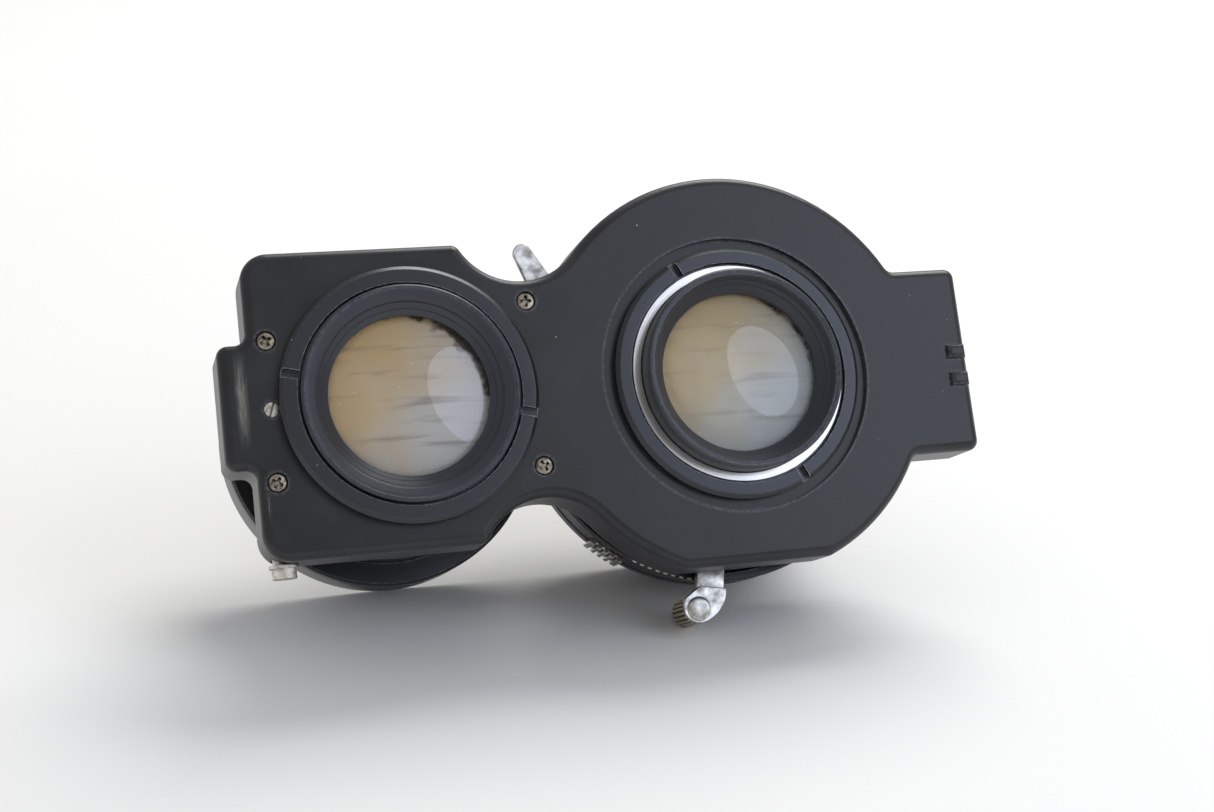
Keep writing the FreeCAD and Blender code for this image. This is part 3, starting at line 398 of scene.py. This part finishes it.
viewing_cup = [
    (15.0, 0.8), (15.8, 0.8), (15.8, 2.5), (15.5, 2.8), (15.25, 2.8), (15.15, 2.65), (14.8, 2.65),
    (13.9, 2.2), (13.5, 1.9), (13.35, 1.5), (12.6, 0.95), (12.5, 0.75), (11.75, 0.3), (11.7, -0.3),
    (13.8, -0.9), (13.8, -6.8), (15.0, -6.8)]
finish("viewing_rear_cup", turned(viewing_cup, 0.05), viewing_axis, viewing_cone, "lens_unit",
       "black_anodised", "viewing_rear_cell")
taking_cup = [
    (15.3, 0.3), (15.2, 0.3), (15.2, 4.0), (14.9, 4.3), (14.7, 4.3), (14.6, 4.15), (14.2, 4.15),
    (13.85, 3.5), (13.6, 3.0), (13.2, 2.55), (13.1, 2.3), (12.1, 1.1), (12.0, 0.5), (14.1, -0.1),
    (14.1, -6.8), (15.3, -6.8)]
finish("taking_rear_cup", turned(taking_cup, 0.05), taking_axis, taking_cone, "lens_unit",
       "black_anodised", "taking_rear_cell")
finish("viewing_glass_lock", turned([(11.6, -6.6), (13.75, -6.6), (13.75, -4.8), (11.6, -4.8)]), viewing_axis,
       viewing_cone, "lens_unit", "black_anodised", "viewing_lock_ring")
finish("taking_glass_spacer", turned([(11.9, -4.4), (14.05, -4.4), (14.05, -3.6), (11.9, -3.6)]), taking_axis,
       taking_cone, "lens_unit", "black_anodised", "taking_spacer")

# ---- Rear flange ring ----
# A bare aluminium washer round the taking cell, faced on the lathe and never anodised. It shows as a bright
# crescent between the black retaining ring and the cell.


def turned_bright(name, axis, tones, line, rough):
    """Bare turned metal: bright, with rings that break up the gloss."""
    material, tree = new_finish(name)
    spot = millimetres(tree, axis)
    rings = add(tree, "TexNoise", {"Scale": line, "Detail": 4.0}, {"Vector": lathe_path(tree, spot)})
    cloud = add(tree, "TexNoise", {"Scale": 0.3, "Detail": 4.0}, {"Vector": spot})
    base = add(tree, "Mix", {6: colour(tones[0]), 7: colour(tones[1])},
               {0: cloud.outputs["Fac"]}, data_type="RGBA").outputs[2]
    gloss = add(tree, "MapRange", {"To Min": rough[0], "To Max": rough[1]}, {"Value": rings.outputs["Fac"]})
    bump = add(tree, "Bump", {"Strength": 0.4, "Distance": 0.000015}, {"Height": rings.outputs["Fac"]})
    metal = add(tree, "BsdfPrincipled", {"Metallic": 1.0},
                {"Base Color": base, "Roughness": gloss.outputs[0], "Normal": bump.outputs[0]})
    add(tree, "OutputMaterial", None, {0: metal.outputs[0]})
    return material


bare_aluminium = turned_bright("aluminium_turned_bare", taking_axis, ("#e9e9e6", "#c2c1bd"), 5.0,
                               (0.18, 0.42))
washer_outline = (15.35, 0.3), (16.6, 0.3), (16.6, 0.45), (16.5, 0.55), (15.35, 0.55)
finish("bright_flange_ring", turned(washer_outline, 0.03), taking_axis, bare_aluminium, "lens_unit",
       "satin_aluminium", "rear_flange_ring")

# ---- Glass ----
# Ground and polished elements with single-layer coatings. The rear surfaces carry a painted reflection
# that runs from amber on one side to cool blue-white on the other, and a few specks of dust lie on them.


def coated_glass(name, axis, warm, cool, tilt, haze, reflection_streak_strength, edge):
    """Glass with a film of haze, dark streaks that are a painted reflection, a painted reflection that drifts
    from warm to cool, and a ragged brown crescent near the rim on one side. A few specks of dust are rough to
    the light."""
    material, tree = new_finish(name)
    spot = millimetres(tree, axis)
    # The drift from warm to cool across the glass is a painted reflection.
    heading = (math.cos(tilt), math.sin(tilt), 0)
    drift = add(tree, "VectorMath", {1: heading}, {0: spot}, operation="DOT_PRODUCT")
    soft = add(tree, "TexNoise", {"Scale": 0.12, "Detail": 3.0}, {"Vector": spot})
    soft = add(tree, "MapRange", {"To Min": -9.0, "To Max": 9.0}, {"Value": soft.outputs["Fac"]})
    drift = add(tree, "Math", None, {0: drift.outputs["Value"], 1: soft.outputs[0]}, operation="ADD")
    share = add(tree, "MapRange", {"From Min": -10.0, "From Max": 10.0}, {"Value": drift.outputs[0]},
                interpolation_type="SMOOTHSTEP")
    tint = add(tree, "Mix", {6: colour(warm), 7: colour(cool)},
               {0: share.outputs[0]}, data_type="RGBA").outputs[2]
    # Dark streaks across the glass: a painted reflection.
    reflection_streak_coords = add(tree, "Mapping", {"Scale": (0.05, 0.55, 0.0), "Rotation": (0, 0, 0.05)}, {"Vector": spot})
    marks = add(tree, "TexNoise", {"Scale": 1.0, "Detail": 3.0, "Distortion": 0.4},
                {"Vector": reflection_streak_coords.outputs[0]})
    marks = add(tree, "MapRange", {"From Min": 0.52, "From Max": 0.7, "To Max": reflection_streak_strength},
                {"Value": marks.outputs["Fac"]}, interpolation_type="SMOOTHSTEP")
    tint = add(tree, "Mix", {7: colour("#4c463c")},
               {0: marks.outputs[0], 6: tint}, data_type="RGBA").outputs[2]
    away = add(tree, "VectorMath", {1: edge}, {0: spot}, operation="DISTANCE")
    ragged = add(tree, "TexNoise", {"Scale": 0.45, "Detail": 5.0}, {"Vector": spot})
    ragged = add(tree, "MapRange", {"To Min": -3.0, "To Max": 3.0}, {"Value": ragged.outputs["Fac"]})
    away = add(tree, "Math", None, {0: away.outputs["Value"], 1: ragged.outputs[0]}, operation="ADD")
    rim = add(tree, "MapRange", {"From Min": 14.6, "From Max": 16.2, "To Max": 0.85},
              {"Value": away.outputs[0]}, interpolation_type="SMOOTHSTEP")
    tint = add(tree, "Mix", {7: colour("#3a2f22")},
               {0: rim.outputs[0], 6: tint}, data_type="RGBA").outputs[2]
    cells = add(tree, "TexVoronoi", {"Scale": 0.5}, {"Vector": spot})
    rough = add(tree, "MapRange", {"From Min": 0.03, "From Max": 0.05, "To Min": 0.5, "To Max": 0.0},
                {"Value": cells.outputs["Distance"]})
    glass = add(tree, "BsdfPrincipled", {"IOR": 1.52, "Transmission Weight": 1 - haze},
                {"Base Color": tint, "Roughness": rough.outputs[0]})
    add(tree, "OutputMaterial", None, {0: glass.outputs[0]})
    return material


viewing_rear_glass_finish = coated_glass("crown_glass_painted_reflection_viewing", viewing_axis, "#f6d7a2", "#eff1f3", -0.6,
                               0.48, 0.45, (-3.2, -3.0, 0))
taking_rear_glass_finish = coated_glass("crown_glass_painted_reflection_taking", taking_axis, "#ffe9bd", "#f4fbff", -0.8,
                              0.34, 0.3, (-2.4, -2.0, 0))
inner_glass = coated_glass("crown_glass_polished_single_coated", taking_axis, "#fbf8f0", "#f4f8fb", 0.6,
                           0.01, 0.02, (0, 0, 0))


def lens(radius, rear, rear_curve, front, front_curve):
    """An element convex both ways; rear and front are the levels of its ground edge."""
    outline = []
    arc_steps = 16
    for curve, level, way in ((rear_curve, rear, 1), (front_curve, front, -1)):
        half = math.asin(radius / curve)
        arc = []
        for step in range(arc_steps + 1):
            angle = half * step / arc_steps
            bulge = curve * (math.cos(angle) - math.cos(half))
            arc.append((curve * math.sin(angle), level + way * bulge))
        outline += arc if way > 0 else arc[::-1]
    return turned(outline, 0, 96, closed=False)


middle_glass = 14.4, -21.4, 90, -24.2, 90
front_glass = 17.3, -28.3, 200, -30.3, 44
for place, axis, glass_finish, sizes in (
        ("viewing_rear", viewing_axis, viewing_rear_glass_finish, (13.75, -1.6, 46, -4.4, 120)),
        ("viewing_middle", viewing_axis, inner_glass, middle_glass),
        ("viewing_front", viewing_axis, inner_glass, front_glass),
        ("taking_rear", taking_axis, taking_rear_glass_finish, (14.05, -0.8, 42, -3.4, 160)),
        ("taking_inner", taking_axis, inner_glass, (14.05, -4.6, 180, -6.3, 150)),
        ("taking_middle", taking_axis, inner_glass, middle_glass),
        ("taking_front", taking_axis, inner_glass, front_glass)):
    finish(place + "_glass", lens(*sizes), axis, glass_finish, "lens_unit", "coated_glass", place + "_element")

# ---- Barrels and inner cells ----
# Turned aluminium tubes, anodised black outside and painted dead matt inside, screwed through the board and
# into the shutter. They carry the bezels and the inner glass.

finish("viewing_barrel_tube", turned([
    (15.05, 0.8), (15.05, -10.5), (17.6, -10.5), (17.6, -30.5), (21.0, -30.5), (21.0, -23.4), (18.6, -22.6),
    (18.6, -9.0), (16.1, -9.0), (16.1, 0.8)], 0.12), viewing_axis, viewing_black, "lens_unit",
    "black_anodised", "viewing_barrel")
barrel_outline = (17.6, -30.5), (21.0, -30.5), (21.0, -22.0), (17.6, -22.0)
finish("taking_barrel_tube", turned(barrel_outline, 0.12), taking_axis, taking_black, "lens_unit",
       "black_anodised", "taking_barrel")
for name, axis, black, top in (("viewing", viewing_axis, viewing_cone, -20.6),
                               ("taking", taking_axis, taking_cone, -21.2)):
    tube = (14.45, top), (17.55, top), (17.55, -27.4), (16.2, -27.4), (16.2, -26.4), (14.45, -26.4)
    finish(name + "_inner_cell", turned(tube), axis, black, "lens_unit", "black_anodised",
           name + "_cell_tube")

# ---- Front bezels and trim rings ----
# Deep black rims with a 0.75 mm pitch filter thread cut inside. The unit lies on these. A shallow cone
# with fine steps surrounds each front glass.

for name, axis, black, cone in (("viewing", viewing_axis, viewing_black, viewing_cone),
                                ("taking", taking_axis, taking_black, taking_cone)):
    pitch, crest, root = 0.75, 23.0, 23.35
    thread = [(crest, -37.0)]
    for turn in range(3):
        start = -36.7 + pitch * turn
        thread += [(crest, start), (root, start + 0.35), (crest, start + 0.7)]
    rim = [
        (21.05, -28.2), (24.2, -28.2), (24.6, -28.6), (24.6, -29.4), (24.4, -29.6), (24.6, -29.8),
        (24.6, -36.6), (24.2, -37.0), *thread, (22.4, -34.2), (22.4, -32.4), (17.8, -32.4), (17.8, -30.6),
        (21.05, -30.6)]
    finish(name + "_bezel", turned(rim, 0.04), axis, black, "lens_unit", "black_anodised",
           name + "_front_bezel")
    steps = []
    tread, riser = 0.66, 0.11
    for step in range(8):
        level = -34.0 + riser * step
        steps += [(17.0 + tread * step, level), (17.55 + tread * step, level)]
    trim = [(22.3, -32.45), (16.5, -32.9), (16.5, -34.0), *steps, (22.3, -33.1)]
    finish(name + "_trim", turned(trim, 0), axis, cone, "lens_unit", "black_anodised", name + "_trim_ring",
           crease=20)

# ---- Shutter housing and plates ----
# A turned aluminium cup in one piece with the rear tube, slotted for the levers, with two bearing plates in
# and the pivot pins of both sets of blades riveted into them.

blasted_aluminium = turned_bright("aluminium_turned_and_blasted", taking_axis, ("#8e8f90", "#6f7072"), 3.0,
                                  (0.35, 0.55))
finish("shutter_cup", cast("shutter_housing"), taking_axis, taking_black, "lens_unit", "satin_aluminium",
       "shutter_housing")
for node in ("shutter_plate", "iris_plate"):
    recoat(node, blasted_aluminium)
for node in ("shutter_blade_pins", "iris_blade_pins", "release_pin", "selector_pin"):
    recoat(node, nickel)

# ---- Cam rings ----
# Ground steel rings that the aperture and cocking levers turn, and the ring that swings the shutter blades.

ground_steel = turned_bright("steel_ground", taking_axis, ("#a3a4a6", "#848587"), 6.0, (0.25, 0.4))
for node, body in (("aperture_ring", "aperture_control"), ("cocking_ring", "cocking_control"),
                   ("blade_drive_ring", "shutter_drive")):
    finish(node + "_ground", cast(node, 0.08), taking_axis, ground_steel, body, "steel_ring", node)

# ---- Blades ----
# Five lapped steel shutter leaves, closed at rest, and five blackened iris leaves, wide open. The bright ones
# show their curved edges through the rear glass.


def lapped_steel(name, tones, rough, metallic):
    """Thin sheet with a fine one-way grain, and painted shade along its edges, where the leaves lap."""
    material, tree = new_finish(name)
    spot = millimetres(tree, taking_axis)
    long = add(tree, "Mapping", {"Scale": (0.3, 6.0, 1.0)}, {"Vector": spot})
    grain = add(tree, "TexNoise", {"Scale": 1.0, "Detail": 4.0}, {"Vector": long.outputs[0]})
    cloud = add(tree, "TexNoise", {"Scale": 0.15, "Detail": 3.0}, {"Vector": spot})
    base = add(tree, "Mix", {6: colour(tones[0]), 7: colour(tones[1])},
               {0: cloud.outputs["Fac"]}, data_type="RGBA").outputs[2]
    # Painted shade: near black along the edges, where the leaves lap.
    base = add(tree, "Mix", {7: colour("#0c0c0d")},
               {0: near_edge(tree, 0.4, 0.02, 0.2), 6: base}, data_type="RGBA").outputs[2]
    gloss = add(tree, "MapRange", {"To Min": rough[0], "To Max": rough[1]}, {"Value": grain.outputs["Fac"]})
    bump = add(tree, "Bump", {"Strength": 0.3, "Distance": 0.000006}, {"Height": grain.outputs["Fac"]})
    metal = add(tree, "BsdfPrincipled", {"Metallic": metallic},
                {"Base Color": base, "Roughness": gloss.outputs[0], "Normal": bump.outputs[0]})
    add(tree, "OutputMaterial", None, {0: metal.outputs[0]})
    return material


bright_steel = lapped_steel("steel_sheet_lapped", ("#ffffff", "#eef0f2"), (0.35, 0.5), 0.3)
black_steel = lapped_steel("steel_sheet_blackened", ("#2a2b2e", "#1d1e20"), (0.4, 0.6), 0.5)
blade_count = 5
for number in range(1, blade_count + 1):
    for kind, sheet in (("shutter", bright_steel), ("iris", black_steel)):
        recoat("%s_blade_%d" % (kind, number), sheet)

# ---- Speed ring, cover and grips ----
# A thin black ring round the housing, with engraved marks filled in cream paint on its rear edge, two chromed
# grips with five ridges each, and the flat cover that keeps it on.

finish("speed_ring_body", turned([
    (28.7, -20.7), (30.0, -20.7), (30.0, -19.0), (29.85, -18.8), (29.85, -16.2), (30.0, -16.0), (30.0, -14.6),
    (29.7, -14.3), (28.7, -14.3)], 0.06), taking_axis, taking_black, "speed_control", "black_anodised",
    "speed_ring")
finish("shutter_cover_disc", turned([
    (17.6, -22.0), (27.6, -22.0), (27.7, -21.85), (27.8, -22.0), (29.6, -22.0), (29.6, -21.0),
    (17.6, -21.0)], 0.06), taking_axis, taking_black, "lens_unit", "black_anodised", "shutter_cover")


def satin_chrome():
    """Cool bright plating with hairline scratches, a few dull patches, and painted shade in its hollows."""
    material, tree = new_finish("chrome_plated_satin")
    spot = millimetres(tree, taking_axis)
    hair = add(tree, "Mapping", {"Rotation": (0, 0, 0.5), "Scale": (12.0, 0.8, 1.0)}, {"Vector": spot})
    lines = add(tree, "TexNoise", {"Scale": 1.0, "Detail": 3.0}, {"Vector": hair.outputs[0]})
    patches = add(tree, "TexNoise", {"Scale": 0.7, "Detail": 5.0}, {"Vector": spot})
    mottled = add(tree, "MapRange", {"From Min": 0.35, "From Max": 0.65}, {"Value": patches.outputs["Fac"]})
    base = add(tree, "Mix", {6: colour("#e9e9e6"), 7: colour("#928f88")},
               {0: mottled.outputs[0]}, data_type="RGBA").outputs[2]
    # Painted shade: brownish grey wherever the ambient occlusion finds a hollow.
    hollow = add(tree, "AmbientOcclusion", {"Distance": 0.0006}, None, samples=4)
    painted_hollow_shade = add(tree, "MapRange", {"From Min": 0.7, "From Max": 0.3}, {"Value": hollow.outputs["AO"]})
    base = add(tree, "Mix", {7: colour("#6a6457")},
               {0: painted_hollow_shade.outputs[0], 6: base}, data_type="RGBA").outputs[2]
    gloss = add(tree, "MapRange", {"To Min": 0.2, "To Max": 0.45}, {"Value": patches.outputs["Fac"]})
    bump = add(tree, "Bump", {"Strength": 0.3, "Distance": 0.000006}, {"Height": lines.outputs["Fac"]})
    metal = add(tree, "BsdfPrincipled", {"Metallic": 1.0},
                {"Base Color": base, "Roughness": gloss.outputs[0], "Normal": bump.outputs[0]})
    add(tree, "OutputMaterial", None, {0: metal.outputs[0]})
    return material


chrome = satin_chrome()
finish("speed_grips", cast("speed_ring_grips", 0.1, 20), taking_axis, chrome, "speed_control", "satin_chrome",
       "speed_ring_grips")


def paint_fill():
    """Cream paint wiped into engraved lines, slightly yellowed and uneven."""
    material, tree = new_finish("paint_wiped_into_engraving")
    spot = millimetres(tree, taking_axis)
    uneven = add(tree, "TexNoise", {"Scale": 4.0, "Detail": 3.0}, {"Vector": spot})
    base = add(tree, "Mix", {6: colour("#efe7cf"), 7: colour("#bdb193")},
               {0: uneven.outputs["Fac"]}, data_type="RGBA").outputs[2]
    bump = add(tree, "Bump", {"Strength": 0.3, "Distance": 0.00001}, {"Height": uneven.outputs["Fac"]})
    paint = add(tree, "BsdfPrincipled", {"Roughness": 0.6}, {"Base Color": base, "Normal": bump.outputs[0]})
    add(tree, "OutputMaterial", None, {0: paint.outputs[0]})
    return material


cream_paint = paint_fill()
paint_thick = 0.06
mark_step, marks_each_side = 2.5, 12
on_chamfer = Matrix.Translation((29.86, 0, -14.44)) @ Matrix.Rotation(math.radians(-45), 4, "Y")
marks = []
for first_mark in (239, 59):
    for number in range(marks_each_side):
        mark = block(paint_thick, 0.62, 0.24, (0, 0, 0))
        turn = math.radians(first_mark + mark_step * number)
        mark.transform(Matrix.Rotation(turn, 4, "Z") @ on_chamfer)
        marks.append(mark)
finish("speed_ring_marks", join(marks), taking_axis, cream_paint, "speed_control", "black_anodised")
marks = []
for angle in range(200, 341, 14):
    mark = block(1.2, 0.25, paint_thick, (26.6, 0, -22.0))
    mark.transform(Matrix.Rotation(math.radians(angle), 4, "Z"))
    marks.append(mark)
finish("cover_marks", join(marks), taking_axis, cream_paint, "lens_unit", "black_anodised")

# ---- Aperture lever ----
# A bent strap of satin-chromed steel whose end plate carries a domed rivet and a knurled brass knob. The
# knob's nickel has worn off, and brass shows along the ridges, with a darker brown between them.

finish("aperture_strap", cast("aperture_lever", 0.12), taking_axis, chrome, "aperture_control",
       "satin_chrome", "aperture_lever")
lever_angle = math.radians(260.9)
knob_axis = taking_axis @ Matrix.Rotation(lever_angle, 4, "Z") @ Matrix.Translation((34.8, -2.1, 0))
rivet_radius, rivet_rise, rivet_edge, rivet_foot, dome_steps = 1.85, 0.38, -9.38, -9.5, 10
dome = []
for step in range(dome_steps + 1):
    angle = math.radians(90 * step / dome_steps)
    dome.append((rivet_radius * math.sin(angle), rivet_edge + rivet_rise * math.cos(angle)))
rivet = turned([*dome, (rivet_radius, rivet_foot), (0, rivet_foot)], 0, 48, closed=False)
finish("knob_rivet", rivet, knob_axis, chrome, "aperture_control", "nickel", "aperture_rivet")


def worn_knob_plating():
    """Nickel on the ridges, patched with yellow brass, and a dark brown down in the grooves."""
    material, tree = new_finish("brass_knurled_worn_nickel")
    spot = millimetres(tree, knob_axis)
    deep = add(tree, "MapRange", {"From Min": 2.24, "From Max": 2.02}, {"Value": from_axis(tree, spot)})
    patches = add(tree, "TexNoise", {"Scale": 1.5, "Detail": 4.0}, {"Vector": spot})
    ridge = add(tree, "Mix", {6: colour("#d7d2c2"), 7: colour("#a8977a")},
                {0: patches.outputs["Fac"]}, data_type="RGBA").outputs[2]
    base = add(tree, "Mix", {7: colour("#5a4a2c")},
               {0: deep.outputs[0], 6: ridge}, data_type="RGBA").outputs[2]
    gloss = add(tree, "MapRange", {"To Min": 0.22, "To Max": 0.45}, {"Value": patches.outputs["Fac"]})
    bump = add(tree, "Bump", {"Strength": 0.3, "Distance": 0.00001}, {"Height": patches.outputs["Fac"]})
    metal = add(tree, "BsdfPrincipled", {"Metallic": 1.0},
                {"Base Color": base, "Roughness": gloss.outputs[0], "Normal": bump.outputs[0]})
    add(tree, "OutputMaterial", None, {0: metal.outputs[0]})
    return material


knob = bmesh.new()
teeth, knob_radius, end_share = 20, 2.3, 0.88
tooth_shape = 1, 1, 0.965, 0.88, 0.88, 0.965
loops = []
for level, share in ((-10.5, end_share), (-10.8, 1), (-16.7, 1), (-17.0, end_share)):
    points = []
    for number in range(len(tooth_shape) * teeth):
        radius = knob_radius * share * tooth_shape[number % len(tooth_shape)]
        angle = 2 * math.pi * number / (len(tooth_shape) * teeth)
        points.append(knob.verts.new((radius * math.cos(angle), radius * math.sin(angle), level)))
    loops.append([knob.edges.new(pair) for pair in zip(points, points[1:] + points[:1])])
    if share < 1:
        knob.faces.new(points)
for pair in zip(loops, loops[1:]):
    bmesh.ops.bridge_loops(knob, edges=pair[0] + pair[1])
bmesh.ops.recalc_face_normals(knob, faces=knob.faces)
finish("knurled_knob", knob, knob_axis, worn_knob_plating(), "aperture_control", "knurled_brass",
       "aperture_knob", crease=25)

# ---- Cocking, release and flash levers ----
# Three small pressed levers in satin chrome. The cocking one comes out through the front of the cup and is
# bent over at its tip. The release one is drawn back by a coil of bare spring wire.

for name, node, rounding, body in (("cocking_tab", "cocking_lever", 0.12, "cocking_control"),
                                   ("release_tab", "release_lever", 0.1, "release_control"),
                                   ("flash_selector_tab", "sync_selector", 0.1, "sync_control")):
    finish(name, cast(node, rounding), taking_axis, chrome, body, "satin_chrome", node)
recoat("release_spring", ground_steel)

# ---- Flash terminal ----
# A small nickel-plated barrel screwed into the lower edge of the board, with a black moulded insulator and a
# brass contact inside it.

terminal_axis = taking_axis @ Matrix.Translation((-69.4, -22.15, -5.7))
terminal_axis = terminal_axis @ Matrix.Rotation(math.radians(90), 4, "X")
brass = turned_bright("brass_turned", terminal_axis, ("#d2b878", "#a98c4e"), 5.0, (0.25, 0.4))
recoat("sync_terminal_pin", brass)
finish("terminal_barrel", cast("sync_terminal_shell", 0.06), taking_axis, clean_nickel, "lens_unit", "nickel",
       "sync_terminal_shell")


def moulding():
    """Black phenolic with a faint flow texture."""
    material, tree = new_finish("phenolic_moulded")
    spot = millimetres(tree, terminal_axis)
    flow = add(tree, "TexNoise", {"Scale": 3.0, "Detail": 3.0}, {"Vector": spot})
    base = add(tree, "Mix", {6: colour("#17120f"), 7: colour("#2a211b")},
               {0: flow.outputs["Fac"]}, data_type="RGBA").outputs[2]
    bump = add(tree, "Bump", {"Strength": 0.2, "Distance": 0.00001}, {"Height": flow.outputs["Fac"]})
    plastic = add(tree, "BsdfPrincipled", {"Roughness": 0.4}, {"Base Color": base, "Normal": bump.outputs[0]})
    add(tree, "OutputMaterial", None, {0: plastic.outputs[0]})
    return material


recoat("sync_terminal_insulator", moulding())

# ---- Table, light and camera ----
# A plain white card under a big soft light behind and above the unit, and a smaller cool one on one side. The
# camera faces the rear of the board from a little above.


def white_card():
    """Nearly white, with a faint unevenness and a soft tooth."""
    material, tree = new_finish("card_coated_white")
    where = add(tree, "TexCoord")
    uneven = add(tree, "TexNoise", {"Scale": 8.0, "Detail": 3.0}, {"Vector": where.outputs["Object"]})
    tooth = add(tree, "TexNoise", {"Scale": 3000.0, "Detail": 2.0}, {"Vector": where.outputs["Object"]})
    base = add(tree, "Mix", {6: colour("#f6f6f6"), 7: colour("#fbfbfa")},
               {0: uneven.outputs["Fac"]}, data_type="RGBA").outputs[2]
    bump = add(tree, "Bump", {"Strength": 0.1, "Distance": 0.00002}, {"Height": tooth.outputs["Fac"]})
    card = add(tree, "BsdfPrincipled", {"Roughness": 0.75}, {"Base Color": base, "Normal": bump.outputs[0]})
    add(tree, "OutputMaterial", None, {0: card.outputs[0]})
    return material


sheet = bmesh.new()
bmesh.ops.create_grid(sheet, x_segments=1, y_segments=1, size=3)
table_mesh = bpy.data.meshes.new("white_card")
sheet.to_mesh(table_mesh)
sheet.free()
table_mesh.materials.append(white_card())
table = bpy.data.objects.new("white_card", table_mesh)
bpy.context.scene.collection.objects.link(table)


def soft_box(name, spot, aim, size, watts, tint):
    """An oval diffuser that faces the unit."""
    light = bpy.data.lights.new(name, "AREA")
    light.shape = "ELLIPSE"
    light.size, light.size_y = size
    light.energy = watts
    light.color = colour(tint)[:3]
    lamp = bpy.data.objects.new(name, light)
    bpy.context.scene.collection.objects.link(lamp)
    lamp.location = spot
    lamp.rotation_mode = "QUATERNION"
    lamp.rotation_quaternion = (Vector(spot) - Vector(aim)).to_track_quat("Z", "Y")


unit_middle = 0, 0, 0.03
soft_box("key_soft_box", (0.5, 0.62, 1.0), unit_middle, (1.0, 0.7), 10.4, "#fffefa")
soft_box("window_soft_box", (0.47, -0.58, 0.54), unit_middle, (0.5, 0.62), 1.7, "#dde7ff")

world = bpy.data.worlds.new("studio")
bpy.context.scene.world = world
world.use_nodes = True
world.node_tree.nodes.clear()
sky = add(world.node_tree, "Background", {"Color": colour("#ffffff"), "Strength": 0.5})
add(world.node_tree, "OutputWorld", None, {0: sky.outputs[0]})

rightward, upward, backward = (0.959, -0.117, 0.258), (0.069, 0.98, 0.188), (-0.275, -0.162, 0.948)
view = Matrix((rightward, upward, backward)).transposed().to_4x4()
view.translation = (-98.2, -49.2, 266.3)
spot, turn, _ = (taking_axis @ view).decompose()
camera = bpy.data.objects.new("camera", bpy.data.cameras.new("camera"))
bpy.context.scene.collection.objects.link(camera)
camera.location = spot
camera.rotation_mode = "QUATERNION"
camera.rotation_quaternion = turn
camera.data.lens = 56.6
camera.data.sensor_width = 36
camera.data.clip_start = 0.01
bpy.context.scene.camera = camera
bpy.context.scene.view_settings.view_transform = "Standard"
